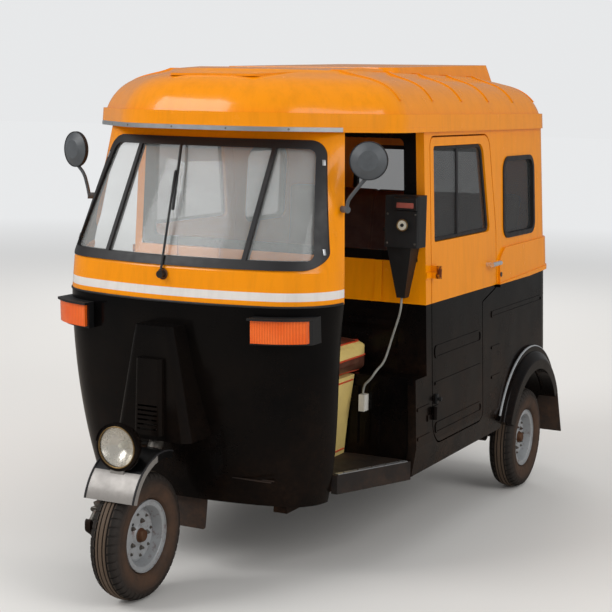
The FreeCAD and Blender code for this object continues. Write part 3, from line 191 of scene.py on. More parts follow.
def paintMaterial(name, bands, dust=0.5, dustHeight=0.95, gloss=0.16, coat=0.16, rusty=None):
    # bands: (height where it starts, colour), from the bottom up
    material, tree, shader = newMaterial(name, Coat_Roughness=0.06)
    point = objectPoint(tree)
    height = axesOf(tree, point)["Z"]
    colour = bands[0][1]
    for start, tone in bands[1:]:
        colour = mixColour(tree, calc(tree, "GREATER_THAN", height, start), colour, tone)
    streak = addNode(tree, "ShaderNodeMapping", {"Vector": point, "Scale": enamel["streaks"]})
    grime = patches(tree, streak.outputs["Vector"], 3.0, 0.45, 0.9, 1.0, enamel["grimeTo"], detail=5.0)
    grey = addNode(tree, "ShaderNodeCombineColor", {"Red": grime, "Green": grime, "Blue": grime})
    shade = mixColour(tree, 1.0, colour, grey.outputs["Color"], "MULTIPLY")
    fade = patches(tree, point, 2.2, 0.35, 0.75, detail=5.0, rough=0.55)
    shade = mixColour(tree, times(tree, fade, enamel["fade"]), shade, colours["dustPale"])
    red = addNode(tree, "ShaderNodeSeparateColor", {0: colour}).outputs["Red"]
    light = calc(tree, "GREATER_THAN", red, 0.2)  # one on the yellow, nought on the black
    shine = ramp(tree, light, 0.0, 1.0, enamel["blackShine"], enamel["yellowShine"])
    link(tree, shine, shader, "Specular IOR Level")
    link(tree, ramp(tree, light, 0.0, 1.0, coat * enamel["blackCoat"], coat), shader, "Coat Weight")
    shade, share = dustOver(tree, point, shade, dust, dustHeight)
    if rusty:
        shade = mixColour(tree, rusty(tree, point), shade, colours["rust"])
    link(tree, shade, shader, "Base Color")
    scuffs = patches(tree, point, 14.0, 0.3, 0.8, gloss, gloss + enamel["scuff"])
    link(tree, calc(tree, "ADD", scuffs, times(tree, share, 0.4)), shader, "Roughness")
    dents = times(tree, noiseValue(tree, point, 3.5, 2.0), enamel["dents"])
    peel = times(tree, noiseValue(tree, point, 420.0, 2.0), enamel["peel"])
    setBump(tree, shader, calc(tree, "ADD", dents, peel), 0.35, 0.003)
    return material


def rubberMaterial(name, tone, dust=0.4, dustHeight=0.6, gloss=0.55):
    material, tree, shader = newMaterial(name, Specular_IOR_Level=0.35)
    point = objectPoint(tree)
    colour = mixColour(tree, noiseValue(tree, point, 18.0, 5.0), tone, toned(tone, 1.7))
    colour, share = dustOver(tree, point, colour, dust, dustHeight)
    link(tree, colour, shader, "Base Color")
    link(tree, ramp(tree, noiseValue(tree, point, 30.0), 0.3, 0.8, gloss, gloss + 0.2), shader, "Roughness")
    setBump(tree, shader, noiseValue(tree, point, 260.0, 4.0, 0.7), 0.25, 0.0006)
    return material


# Dust on a tyre: on the crown of the tread and thinly on the side walls, not in the grooves; the grooves get
# painted shade
tyreDust = {"front": -1.105, "rear": 0.895, "axle": 0.2075, "groove": 0.2025, "crown": 0.2068,
            "onCrown": 0.26, "wallFrom": 0.185, "wallTo": 0.150, "onWall": 0.45, "dark": (0.196, 0.2035),
            "clear": (0.2025, 0.2045)}


def tyreMaterial(name, tone):
    material, tree, shader = newMaterial(name, Specular_IOR_Level=0.3)
    point = objectPoint(tree)
    axes = axesOf(tree, point)
    behind = calc(tree, "GREATER_THAN", axes["Y"], 0.0)
    axle = ramp(tree, behind, 0.0, 1.0, tyreDust["front"], tyreDust["rear"])
    along = calc(tree, "SUBTRACT", axes["Y"], axle)
    up = calc(tree, "SUBTRACT", axes["Z"], tyreDust["axle"])
    radius = calc(tree, "SQRT", calc(tree, "ADD", times(tree, along, along), times(tree, up, up)))
    crown = ramp(tree, radius, tyreDust["groove"], tyreDust["crown"], 0.02, tyreDust["onCrown"])
    wall = times(tree, ramp(tree, radius, tyreDust["wallFrom"], tyreDust["wallTo"], 0.0, tyreDust["onWall"]),
                 patches(tree, point, 14.0, 0.3, 0.8, 0.25, 1.0))
    colour = mixColour(tree, crown, tone, colours["dustPale"])
    colour = mixColour(tree, wall, colour, colours["dust"])
    # painted shade: the grooves darkened almost to black between the dark and clear radii
    groove = times(tree, ramp(tree, radius, *tyreDust["dark"], 0.0, 1.0),
                   ramp(tree, radius, *tyreDust["clear"], 1.0, 0.0), 0.75)
    link(tree, mixColour(tree, groove, colour, colours["paintedGrooveShade"]), shader, "Base Color")
    link(tree, ramp(tree, noiseValue(tree, point, 30.0), 0.3, 0.8, 0.62, 0.85), shader, "Roughness")
    setBump(tree, shader, noiseValue(tree, point, 300.0, 4.0, 0.7), 0.3, 0.0006)
    return material


# Front mudguard: silver on the hanging plate, black behind it, silver again on its edges
guardSides = {"plateEnd": -1.212, "edge": 0.0874, "edgeEnd": -1.125}


def guardMaterial(name, tone):
    material, tree, shader = newMaterial(name, Metallic=0.3, Coat_Weight=0.1)
    point = objectPoint(tree)
    axes = axesOf(tree, point)
    ahead = calc(tree, "LESS_THAN", axes["Y"], guardSides["plateEnd"])
    edge = times(tree, calc(tree, "GREATER_THAN", axes["X"], guardSides["edge"]),
                 calc(tree, "LESS_THAN", axes["Y"], guardSides["edgeEnd"]))
    mottled = patches(tree, point, 18.0, 0.25, 0.85)
    silver = mixColour(tree, mottled, tone, toned(tone, 0.7))
    silver = mixColour(tree, patches(tree, point, 70.0, 0.66, 0.74), silver, colours["rust"])
    bare = calc(tree, "MAXIMUM", ahead, edge)
    link(tree, mixColour(tree, bare, colours["black"], silver), shader, "Base Color")
    link(tree, ramp(tree, mottled, 0.0, 1.0, 0.32, 0.5), shader, "Roughness")
    setBump(tree, shader, noiseValue(tree, point, 9.0, 4.0), 0.3, 0.003)
    return material


def metalMaterial(name, tone, rough, rust=0.0, metallic=1.0):
    material, tree, shader = newMaterial(name, Metallic=metallic)
    point = objectPoint(tree)
    colour = mixColour(tree, patches(tree, point, 25.0, 0.2, 0.9), tone, toned(tone, 0.72))
    if rust:
        spots = patches(tree, point, 38.0, 0.62 - rust * 0.2, 0.72, detail=8.0, rough=0.75)
        colour = mixColour(tree, spots, colour, colours["rust"])
    link(tree, colour, shader, "Base Color")
    grain = patches(tree, point, 40.0, 0.2, 0.9, rough, rough + 0.25, detail=5.0, rough=0.55)
    link(tree, grain, shader, "Roughness")
    setBump(tree, shader, noiseValue(tree, point, 180.0, 4.0), 0.15, 0.0005)
    return material


def glassMaterial(name, tone, cover):
    # thin glass with a smeared film; cover is how much it hides; a pale tone is partly a dusty film and
    # partly a painted reflection
    material, tree, shader = newMaterial(name, Alpha=cover, Coat_Weight=0.0)
    smear = addNode(tree, "ShaderNodeMapping", {"Vector": objectPoint(tree), "Scale": (3.0, 3.0, 9.0)})
    film = patches(tree, smear.outputs["Vector"], 2.5, 0.3, 0.8)
    link(tree, mixColour(tree, film, tone, toned(tone, 0.8)), shader, "Base Color")
    link(tree, ramp(tree, film, 0.0, 1.0, 0.04, 0.16), shader, "Roughness")
    return material


def lensMaterial(name, tone):
    # moulded plastic lens with fine upright ribs; painted glow in patches and painted shade along the ribs
    material, tree, shader = newMaterial(name, Roughness=0.16, Coat_Weight=0.25, Coat_Roughness=0.05)
    point = objectPoint(tree)
    ribs = addNode(tree, "ShaderNodeTexWave", {"Vector": point, "Scale": 40.0, "Distortion": 0.0},
                   bands_direction="X").outputs["Fac"]
    # painted glow: brighter patches in the lens
    glow = patches(tree, point, 12.0, 0.3, 0.75, detail=3.0, rough=0.55)
    colour = mixColour(tree, glow, tone, [min(1.0, part) for part in toned(tone, 1.5, 0.02)])
    # painted shade along the ribs
    colour = mixColour(tree, times(tree, ribs, 0.35), colour, toned(tone, 0.45))
    link(tree, colour, shader, "Base Color")
    setBump(tree, shader, ribs, 0.5, 0.001)
    return material


def plasticMaterial(name, tone, rough=0.45, grain=0.3):
    material, tree, shader = newMaterial(name)
    point = objectPoint(tree)
    worn = patches(tree, point, 22.0, 0.35, 0.85)
    link(tree, mixColour(tree, times(tree, worn, 0.5), tone, toned(tone, 1.8, 0.01)), shader, "Base Color")
    link(tree, ramp(tree, worn, 0.0, 1.0, rough, rough + 0.2), shader, "Roughness")
    setBump(tree, shader, noiseValue(tree, point, 700.0, 2.0), grain, 0.0003)
    return material


def vinylMaterial(name, tone, bands=()):
    # bands: (height where it starts, colour), from the bottom up, over the first tone
    material, tree, shader = newMaterial(name, Coat_Weight=0.15, Coat_Roughness=0.3)
    point = objectPoint(tree)
    height = axesOf(tree, point)["Z"]
    for start, colour in bands:
        tone = mixColour(tree, calc(tree, "GREATER_THAN", height, start), tone, colour)
    worn = patches(tree, point, 9.0, 0.4, 0.85)
    link(tree, mixColour(tree, times(tree, worn, 0.4), tone, colours["dustPale"]), shader, "Base Color")
    link(tree, ramp(tree, worn, 0.0, 1.0, 0.38, 0.6), shader, "Roughness")
    cells = addNode(tree, "ShaderNodeTexVoronoi", {"Vector": point, "Scale": 420.0}).outputs["Distance"]
    wrinkle = noiseValue(tree, point, 34.0, 5.0, 0.6)
    setBump(tree, shader, calc(tree, "ADD", times(tree, cells, 0.25), wrinkle), 0.3, 0.0012)
    return material


# Heights where the paint changes on the sides, the cab front and the partition, and the vinyl on the seats
paintHeights = {"sides": 0.888, "stripeLow": 0.957, "stripeHigh": 0.984, "partitionTop": 1.036}
seatBands = {"driver": (0.701, 0.748), "bench": (0.704, 0.772)}
blackBands = [(0.0, colours["black"])]
sideBands = blackBands + [(paintHeights["sides"], colours["yellow"])]
cabBands = [(0.0, colours["yellow"]), (paintHeights["stripeLow"], colours["stripe"]),
            (paintHeights["stripeHigh"], colours["yellow"])]
partitionBands = sideBands + [(paintHeights["partitionTop"], colours["black"])]


def seatVinyl(name, seat):
    # brown with a cream band round the side
    low, high = seatBands[seat]
    return vinylMaterial(name, colours["brown"], [(low, colours["cream"]), (high, colours["brown"])])


materials = {
    "sidePaint": paintMaterial("side_paint", sideBands, dust=0.4, dustHeight=0.9, rusty=hingeShare),
    "cabPaint": paintMaterial("cab_paint", cabBands, dust=0.1),
    "roofPaint": paintMaterial("roof_paint", [(0.0, colours["yellow"])], dust=0.0, coat=0.28),
    "blackPaint": paintMaterial("black_paint", blackBands, dust=0.16, dustHeight=0.8, gloss=0.12),
    "chassisPaint": paintMaterial("chassis_paint", blackBands, dust=1.2, gloss=0.5, coat=0.0),
    "partitionPaint": paintMaterial("partition_paint", partitionBands, dust=0.3),
    "silverPaint": metalMaterial("silver_paint", srgb(176, 178, 180), 0.38, rust=0.35, metallic=0.35),
    "guardPaint": guardMaterial("guard_paint", srgb(152, 147, 142)),
    "steel": metalMaterial("worn_steel", srgb(120, 116, 110), 0.4, rust=0.5, metallic=0.8),
    "chrome": metalMaterial("chrome", srgb(240, 240, 242), 0.14, metallic=0.75),
    "casting": metalMaterial("oily_casting", srgb(70, 66, 62), 0.5, rust=0.4, metallic=0.6),
    "sealRubber": rubberMaterial("seal_rubber", srgb(32, 31, 32), dust=0.0, gloss=0.38),
    "flapRubber": rubberMaterial("flap_rubber", srgb(36, 32, 30), dust=1.0, dustHeight=0.75),
    "tyreRubber": tyreMaterial("tyre_rubber", srgb(40, 36, 34)),
    "matRubber": rubberMaterial("mat_rubber", srgb(24, 22, 21), dust=0.8),
    # the windscreen's pale tone: a dusty film and a painted reflection of the bright surroundings
    "screenGlass": glassMaterial("screen_glass", srgb(205, 208, 206), 0.28),
    "windowGlass": glassMaterial("window_glass", srgb(58, 60, 60), 0.5),
    "lampGlass": glassMaterial("lamp_glass", srgb(236, 234, 226), 0.10),
    "amberLens": lensMaterial("amber_lens", srgb(240, 92, 12)),
    "redLens": lensMaterial("red_lens", srgb(170, 18, 12)),
    "blackPlastic": plasticMaterial("black_plastic", srgb(19, 19, 20)),
    "greyPlastic": plasticMaterial("grey_plastic", srgb(74, 77, 80), 0.4),
    "whitePlastic": plasticMaterial("white_plastic", srgb(205, 202, 194), 0.35),
    "cordSheath": plasticMaterial("cord_sheath", srgb(132, 132, 126), 0.4),
    "brownVinyl": vinylMaterial("brown_vinyl", colours["brown"]),
    "creamVinyl": vinylMaterial("cream_vinyl", colours["cream"]),
    "pipingVinyl": vinylMaterial("piping_vinyl", colours["piping"]),
    "threadVinyl": vinylMaterial("thread", srgb(150, 104, 72)),
    "driverVinyl": seatVinyl("driver_vinyl", "driver"),
    "benchVinyl": seatVinyl("bench_vinyl", "bench"),
    "darkSteel": metalMaterial("dark_steel", srgb(118, 114, 108), 0.42, rust=0.5, metallic=0.7),
    "rustySteel": metalMaterial("rusty_steel", srgb(110, 84, 62), 0.55, rust=1.2, metallic=0.6),
    "silverTrim": metalMaterial("silver_trim", srgb(196, 198, 200), 0.26, rust=0.05, metallic=0.8),
    "reflector": metalMaterial("reflector", srgb(248, 242, 230), 0.16, metallic=0.8),
    "brass": metalMaterial("brass", srgb(150, 122, 78), 0.32, rust=0.25, metallic=0.8),
    # grey for the rear mudguard beads: a painted highlight along the crest
    "beadHighlightGrey": plasticMaterial("bead_painted_highlight", srgb(150, 152, 154), 0.4),
    "displayGlass": plasticMaterial("display_glass", srgb(150, 74, 62), 0.25, 0.05),
    "paleDial": plasticMaterial("pale_dial", srgb(214, 208, 190), 0.4),
    "lampBulb": glassMaterial("lamp_bulb", srgb(236, 232, 214), 0.6),
}

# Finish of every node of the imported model
nodeFinish = {
    "front_apron": "blackPaint", "cab_front": "cabPaint", "windscreen_rubber": "sealRubber",
    "windscreen_glass": "screenGlass", "steering_cowl": "blackPaint", "steering_head": "chassisPaint",
    "roof_shell": "roofPaint", "rear_panel": "sidePaint", "body_side_left": "sidePaint",
    "body_side_right": "sidePaint", "window_rubbers": "sealRubber", "window_glass": "windowGlass",
    "floor_pan": "matRubber", "chassis_rails": "chassisPaint", "cross_members": "chassisPaint",
    "partition": "partitionPaint", "seat_riser": "blackPaint", "driver_seat_base": "creamVinyl",
    "driver_seat_cushion": "brownVinyl", "bench_base": "blackPaint", "bench_cushion": "brownVinyl",
    "bench_backrest": "brownVinyl", "rear_mudguards": "blackPaint", "mudflaps": "flapRubber",
    "engine_block": "casting", "trailing_arms": "chassisPaint", "rear_shocks": "steel",
    "indicator_housings": "blackPlastic", "indicator_lenses": "amberLens", "tail_lamps": "redLens",
    "rear_bumper": "blackPaint", "fare_meter": "blackPlastic", "meter_cord": "cordSheath",
    "cord_connector": "whitePlastic", "mirrors": "greyPlastic", "wiper": "blackPlastic",
    "door_left": "sidePaint", "door_left_glass": "windowGlass", "door_left_handle": "chrome",
    "door_right": "sidePaint", "door_right_glass": "windowGlass", "door_right_handle": "chrome",
    "engine_hatch": "sidePaint", "steering_column": "steel", "handlebar": "blackPlastic",
    "fork_arm": "chassisPaint", "front_shock": "steel", "front_mudguard": "guardPaint",
    "headlamp_shell": "blackPaint", "headlamp_lens": "lampGlass", "front_tyre": "tyreRubber",
    "front_rim": "silverPaint", "rear_left_tyre": "tyreRubber", "rear_left_rim": "silverPaint",
    "rear_right_tyre": "tyreRubber", "rear_right_rim": "silverPaint",
}
for nodeName, finish in nodeFinish.items():
    nodeMesh = nodes[nodeName].data
    nodeMesh.materials.clear()
    nodeMesh.materials.append(materials[finish])
print("finishes given to", len(nodeFinish), "nodes")


# Camera at the photograph's angle, from the fit of wheels, paired features and the horizon
cameraFit = {"place": (2.565, -3.952, 1.599), "yaw": 26.592, "pitch": 7.873, "roll": 1.108,
             "focal": 1517.96, "frame": 612, "sensor": 36.0}


def makeCamera():
    yaw, pitch, roll = [math.radians(cameraFit[key]) for key in ("yaw", "pitch", "roll")]
    ahead = Vector((-math.sin(yaw) * math.cos(pitch), math.cos(yaw) * math.cos(pitch), -math.sin(pitch)))
    right = Vector((math.cos(yaw), math.sin(yaw), 0.0))
    up = right.cross(ahead)
    camX = right * math.cos(roll) + up * math.sin(roll)
    camY = up * math.cos(roll) - right * math.sin(roll)
    data = bpy.data.cameras.new("camera")
    data.sensor_width = cameraFit["sensor"]
    data.lens = cameraFit["focal"] / cameraFit["frame"] * cameraFit["sensor"]
    data.clip_start, data.clip_end = 0.1, 200.0
    camera = bpy.data.objects.new("camera", data)
    bpy.context.scene.collection.objects.link(camera)
    turn = Matrix((camX, camY, -ahead)).transposed().to_4x4()
    camera.matrix_world = Matrix.Translation(place(*cameraFit["place"])) @ turn
    bpy.context.scene.camera = camera


stageSizes = {"floorHalf": 60.0, "floorTone": (0.78, 0.76, 0.73, 1.0), "skyTone": (0.86, 0.87, 0.88, 1.0),
              "skyLight": 0.62, "seenSky": 0.93, "mirroredSky": 0.30, "fadeFrom": 5.0, "fadeTo": 14.0,
              "mirroredFloor": (0.30, 0.27, 0.24, 1.0)}


def makeFloor():
    # pale paper that fades into the sky; paint mirrors a darker floor and sky than the camera sees
    half = stageSizes["floorHalf"]
    mesh = bpy.data.meshes.new("floor")
    corners = [(-half, -half, 0), (half, -half, 0), (half, half, 0), (-half, half, 0)]
    mesh.from_pydata(corners, [], [(0, 1, 2, 3)])
    floor = bpy.data.objects.new("floor", mesh)
    bpy.context.scene.collection.objects.link(floor)
    material, tree, shader = newMaterial("floor_paper", Roughness=0.9, Specular_IOR_Level=0.1)
    reach = addNode(tree, "ShaderNodeVectorMath", {0: objectPoint(tree)}, operation="LENGTH").outputs["Value"]
    far = ramp(tree, reach, stageSizes["fadeFrom"], stageSizes["fadeTo"])
    reflected = addNode(tree, "ShaderNodeLightPath").outputs["Is Glossy Ray"]
    tone = mixColour(tree, reflected, stageSizes["floorTone"], stageSizes["mirroredFloor"])
    link(tree, mixColour(tree, far, tone, (0.0, 0.0, 0.0, 1.0)), shader, "Base Color")
    shader.inputs["Emission Color"].default_value = stageSizes["skyTone"]
    glow = ramp(tree, reflected, 0.0, 1.0, stageSizes["seenSky"], stageSizes["mirroredSky"])
    link(tree, times(tree, far, glow), shader, "Emission Strength")
    mesh.materials.append(material)


def makeSky():
    world = bpy.data.worlds.new("studio")
    world.use_nodes = True
    bpy.context.scene.world = world
    tree = world.node_tree
    tree.nodes.clear()
    rays = addNode(tree, "ShaderNodeLightPath").outputs
    seen = calc(tree, "MAXIMUM", rays["Is Camera Ray"], rays["Is Transmission Ray"])
    lit = ramp(tree, rays["Is Glossy Ray"], 0.0, 1.0, stageSizes["skyLight"], stageSizes["mirroredSky"])
    strength = calc(tree, "MAXIMUM", times(tree, seen, stageSizes["seenSky"]), lit)
    sky = addNode(tree, "ShaderNodeBackground", {"Color": stageSizes["skyTone"], "Strength": strength})
    addNode(tree, "ShaderNodeOutputWorld", {"Surface": sky.outputs["Background"]})
    print("stage ready")


# Lamps: name, place, target, size, watts, and whether the paint mirrors it
lamps = [
    ("keyLamp", (-4.5, -5.5, 6.0), (0.0, 0.0, 0.9), 4.0, 330.0, True),
    ("sideLamp", (6.5, -2.0, 4.5), (0.0, 0.3, 0.8), 4.0, 175.0, True),
    ("topLamp", (0.0, 1.0, 6.0), (0.0, 0.3, 1.6), 5.0, 40.0, False),
    ("backLamp", (-3.0, 6.5, 4.5), (0.0, 0.5, 1.0), 4.0, 150.0, False),
]


def makeLamps():
    for name, where, target, size, watts, reflected in lamps:
        data = bpy.data.lights.new(name, "AREA")
        data.size = size
        data.energy = watts
        lamp = bpy.data.objects.new(name, data)
        lamp.visible_glossy = reflected
        bpy.context.scene.collection.objects.link(lamp)
        aim = Vector(target) - Vector(where)
        lamp.matrix_world = Matrix.Translation(where) @ aim.to_track_quat("-Z", "Y").to_matrix().to_4x4()


def cableCurve(name, route, radius, roundness):
    # a round cable through a route of points, with closed ends
    curve = bpy.data.curves.new(name, "CURVE")
    curve.dimensions = "3D"
    curve.bevel_depth = radius
    curve.bevel_resolution = roundness
    curve.resolution_u = 12
    curve.use_fill_caps = True
    spline = curve.splines.new("NURBS")
    spline.points.add(len(route) - 1)
    for point, where in zip(spline.points, route):
        point.co = (*where, 1.0)
    spline.order_u = 3
    spline.use_endpoint_u = True
    return curve


# The fare meter's lead: route from the bracket to the connector, in metres from the front axle
leadSizes = {"diameter": 0.008, "length": 0.402, "roundness": 4}
leadRoute = [
    (0.520, 0.874, 0.912), (0.520, 0.874, 0.872), (0.502, 0.880, 0.818), (0.484, 0.882, 0.764),
    (0.472, 0.878, 0.716), (0.472, 0.842, 0.680), (0.466, 0.798, 0.662), (0.450, 0.784, 0.630),
    (0.423, 0.783, 0.606), (0.423, 0.783, 0.574),
]


def makeLead():
    route = [place(*where) for where in leadRoute]
    curve = cableCurve("meter_lead", route, leadSizes["diameter"] / 2, leadSizes["roundness"])
    lead = bpy.data.objects.new("meter_lead", curve)
    bpy.context.scene.collection.objects.link(lead)
    curve.materials.append(materials["cordSheath"])
    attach(lead, "body")
    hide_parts("meter_cord")


# Meshes

def newPiece(name, mesh, material=None, sharp=35.0):
    piece = bpy.data.objects.new(name, mesh)
    bpy.context.scene.collection.objects.link(piece)
    if material:
        mesh.materials.append(materials[material])
    mesh.shade_smooth()
    mesh.set_sharp_from_angle(angle=math.radians(sharp))
    return piece


def keep(piece, body, slot, *replaced):
    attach(piece, body)
    if replaced:
        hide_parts(*replaced)


def dress(name, meshes, material, body, slot, *replaced, sharp=35.0):
    # a finished piece of the scene; a list of meshes is joined first
    mesh = joinedMesh(name, meshes) if isinstance(meshes, list) else meshes
    keep(newPiece(name, mesh, material, sharp), body, slot, *replaced)


def meshOf(name, points, faces):
    mesh = bpy.data.meshes.new(name)
    mesh.from_pydata([tuple(point) for point in points], [], faces)
    shape = bmesh.new()
    shape.from_mesh(mesh)
    bmesh.ops.remove_doubles(shape, verts=shape.verts, dist=1e-6)
    bmesh.ops.recalc_face_normals(shape, faces=shape.faces)
    shape.to_mesh(mesh)
    shape.free()
    return mesh


def joinedMesh(name, meshes):
    points = []
    faces = []
    for mesh in meshes:
        first = len(points)
        points += [vertex.co.copy() for vertex in mesh.vertices]
        faces += [[first + index for index in face.vertices] for face in mesh.polygons]
    return meshOf(name, points, faces)


def ringFaces(rings, size, looped=False, closed=True, first=0):
    # faces between neighbouring rings of points; looped joins the last ring to the first one
    faces = []
    for ring in range(rings if looped else rings - 1):
        here, beyond = first + ring * size, first + (ring + 1) % rings * size
        for index in range(size if closed else size - 1):
            following = (index + 1) % size
            faces.append((here + index, here + following, beyond + following, beyond + index))
    return faces


def turnedMesh(name, profile, segments=48, closed=True):
    # a profile of (along, radius) turned about the x axis; closed joins its last point to its first
    points = []
    for step in range(segments):
        angle = 2 * math.pi * step / segments
        points += [(along, radius * math.sin(angle), radius * math.cos(angle)) for along, radius in profile]
    return meshOf(name, points, ringFaces(segments, len(profile), looped=True, closed=closed))


def sweptMesh(name, points, ups, section, closed=False):
    # a section of (across, up) carried along a path whose outward directions are ups
    rings = []
    count = len(points)
    for index in range(count):
        before = points[index - 1] if index or closed else points[0]
        after = points[(index + 1) % count] if index < count - 1 or closed else points[-1]
        ahead = (after - before).normalized()
        across = ahead.cross(ups[index]).normalized()
        up = across.cross(ahead)
        rings.append([points[index] + across * u + up * v for u, v in section])
    size = len(section)
    faces = ringFaces(count, size, looped=closed)
    if not closed:
        faces += [tuple(range(size)), tuple(range((count - 1) * size, count * size))]
    return meshOf(name, [corner for ring in rings for corner in ring], faces)


def beadSection(width, height):
    # half-round strip whose foot sinks half a millimetre into what carries it
    half = width / 2
    return [(-half, -0.0005), (-half, height * 0.4), (-half * 0.6, height * 0.88), (0, height),
            (half * 0.6, height * 0.88), (half, height * 0.4), (half, -0.0005)]


def roundSection(radius, sides=10):
    return [(radius * math.cos(2 * math.pi * k / sides), radius * math.sin(2 * math.pi * k / sides))
            for k in range(sides)]


def blockMesh(name, size, bevel, middle=(0, 0, 0)):
    shape = bmesh.new()
    bmesh.ops.create_cube(shape, size=1.0)
    bmesh.ops.scale(shape, vec=size, verts=shape.verts)
    bmesh.ops.bevel(shape, geom=shape.edges[:], offset=bevel, segments=2, affect="EDGES", profile=0.6)
    bmesh.ops.translate(shape, vec=middle, verts=shape.verts)
    mesh = bpy.data.meshes.new(name)
    shape.to_mesh(mesh)
    shape.free()
    return mesh


def turnTo(along):
    # turns local x to a direction, local z staying as upright as it can
    return Vector(along).to_track_quat("X", "Z").to_matrix().to_4x4()


skins = {}


def skinOf(node):
    if node not in skins:
        body = nodes[node]
        points = [body.matrix_world @ vertex.co for vertex in body.data.vertices]
        skins[node] = BVHTree.FromPolygons(points, [face.vertices for face in body.data.polygons])
    return skins[node]


def hit(node, start, ahead):
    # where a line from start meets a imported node, and the outward normal there
    where, normal, face, distance = skinOf(node).ray_cast(Vector(start), Vector(ahead).normalized())
    if where is None:
        return None
    if normal.dot(Vector(ahead)) > 0:
        normal = -normal
    return where, normal


def hits(node, rays):
    # places and normals for lines of (start, direction); misses are left out
    found = [pair for pair in (hit(node, start, ahead) for start, ahead in rays) if pair]
    return [where for where, normal in found], [normal for where, normal in found]


def heldMesh(holder):
    # the holder's mesh as its modifiers leave it, plain; the holder goes
    graph = bpy.context.evaluated_depsgraph_get()
    mesh = bpy.data.meshes.new_from_object(holder.evaluated_get(graph), depsgraph=graph)
    holder.modifiers.clear()
    bpy.data.objects.remove(holder)
    return mesh


def roundedLoop(corners, steps=6, spacing=0.05):
    # points round a flat outline of (u, v, corner radius), corners as arcs and straights in steps
    count = len(corners)
    loop = []
    for index, (u, v, radius) in enumerate(corners):
        here = Vector((u, v))
        back = (Vector(corners[index - 1][:2]) - here).normalized()
        ahead = (Vector(corners[(index + 1) % count][:2]) - here).normalized()
        half = back.angle(ahead) / 2
        reach = radius / math.tan(half)
        centre = here + (back + ahead).normalized() * (radius / math.sin(half))
        start = here + back * reach - centre
        turn = start.angle_signed(here + ahead * reach - centre)
        for step in range(steps + 1):
            angle = -turn * step / steps
            loop.append(centre + Vector((start.x * math.cos(angle) - start.y * math.sin(angle),
                                         start.x * math.sin(angle) + start.y * math.cos(angle))))
        following = Vector(corners[(index + 1) % count][:2])
        extra = int((following - here).length / spacing)
        first = here + ahead * reach
        nextHalf = (here - following).angle(Vector(corners[(index + 2) % count][:2]) - following) / 2
        last = following - ahead * (corners[(index + 1) % count][2] / math.tan(nextHalf))
        loop += [first.lerp(last, step / extra) for step in range(1, extra)]
    return loop


# Trees that repeat a piece

def startTree(name, sockets):
    # a node group whose sizes are named inputs; returns its tree, input node and output node
    tree = bpy.data.node_groups.new(name, "GeometryNodeTree")
    tree.interface.new_socket(name="Geometry", in_out="INPUT", socket_type="NodeSocketGeometry")
    for label, kind in sockets.items():
        tree.interface.new_socket(name=label, in_out="INPUT", socket_type="NodeSocket" + kind)
    tree.interface.new_socket(name="Geometry", in_out="OUTPUT", socket_type="NodeSocketGeometry")
    return tree, tree.nodes.new("NodeGroupInput").outputs, tree.nodes.new("NodeGroupOutput")


def endTree(tree, entry, output, instances):
    whole = addNode(tree, "GeometryNodeRealizeInstances", {"Geometry": instances}).outputs["Geometry"]
    painted = addNode(tree, "GeometryNodeSetMaterial", {"Geometry": whole, "Material": entry["Material"]})
    tree.links.new(painted.outputs["Geometry"], output.inputs["Geometry"])
    return tree


def itemOf(tree, entry):
    return addNode(tree, "GeometryNodeObjectInfo", {"Object": entry["Item"]}).outputs["Geometry"]


def ringTree():
    # copies round the x axis, each with its z axis outwards
    tree, entry, output = startTree("ring", {"Item": "Object", "Count": "Int", "Radius": "Float",
                                             "Across": "Float", "Phase": "Float", "Material": "Material"})
    line = addNode(tree, "GeometryNodeMeshLine", {"Count": entry["Count"]}).outputs["Mesh"]
    index = addNode(tree, "GeometryNodeInputIndex").outputs["Index"]
    share = calc(tree, "DIVIDE", calc(tree, "ADD", index, entry["Phase"]), entry["Count"])
    angle = times(tree, share, 2 * math.pi)
    sideways = times(tree, calc(tree, "SINE", angle), entry["Radius"], -1.0)
    upwards = times(tree, calc(tree, "COSINE", angle), entry["Radius"])
    spot = addNode(tree, "ShaderNodeCombineXYZ", {"X": entry["Across"], "Y": sideways, "Z": upwards})
    points = addNode(tree, "GeometryNodeSetPosition", {"Geometry": line, "Position": spot.outputs["Vector"]})
    turn = addNode(tree, "ShaderNodeCombineXYZ", {"X": angle}).outputs["Vector"]
    rotation = addNode(tree, "FunctionNodeEulerToRotation", {"Euler": turn}).outputs["Rotation"]
    copies = addNode(tree, "GeometryNodeInstanceOnPoints", {
        "Points": points.outputs["Geometry"], "Instance": itemOf(tree, entry), "Rotation": rotation})
    return endTree(tree, entry, output, copies.outputs["Instances"])


def rowTree():
    # copies in a straight row from Start by equal Steps
    tree, entry, output = startTree("row", {"Item": "Object", "Count": "Int", "Start": "Vector",
                                            "Step": "Vector", "Material": "Material"})
    line = addNode(tree, "GeometryNodeMeshLine", {"Count": entry["Count"], "Start Location": entry["Start"],
                                                  "Offset": entry["Step"]}).outputs["Mesh"]
    copies = addNode(tree, "GeometryNodeInstanceOnPoints", {"Points": line, "Instance": itemOf(tree, entry)})
    return endTree(tree, entry, output, copies.outputs["Instances"])


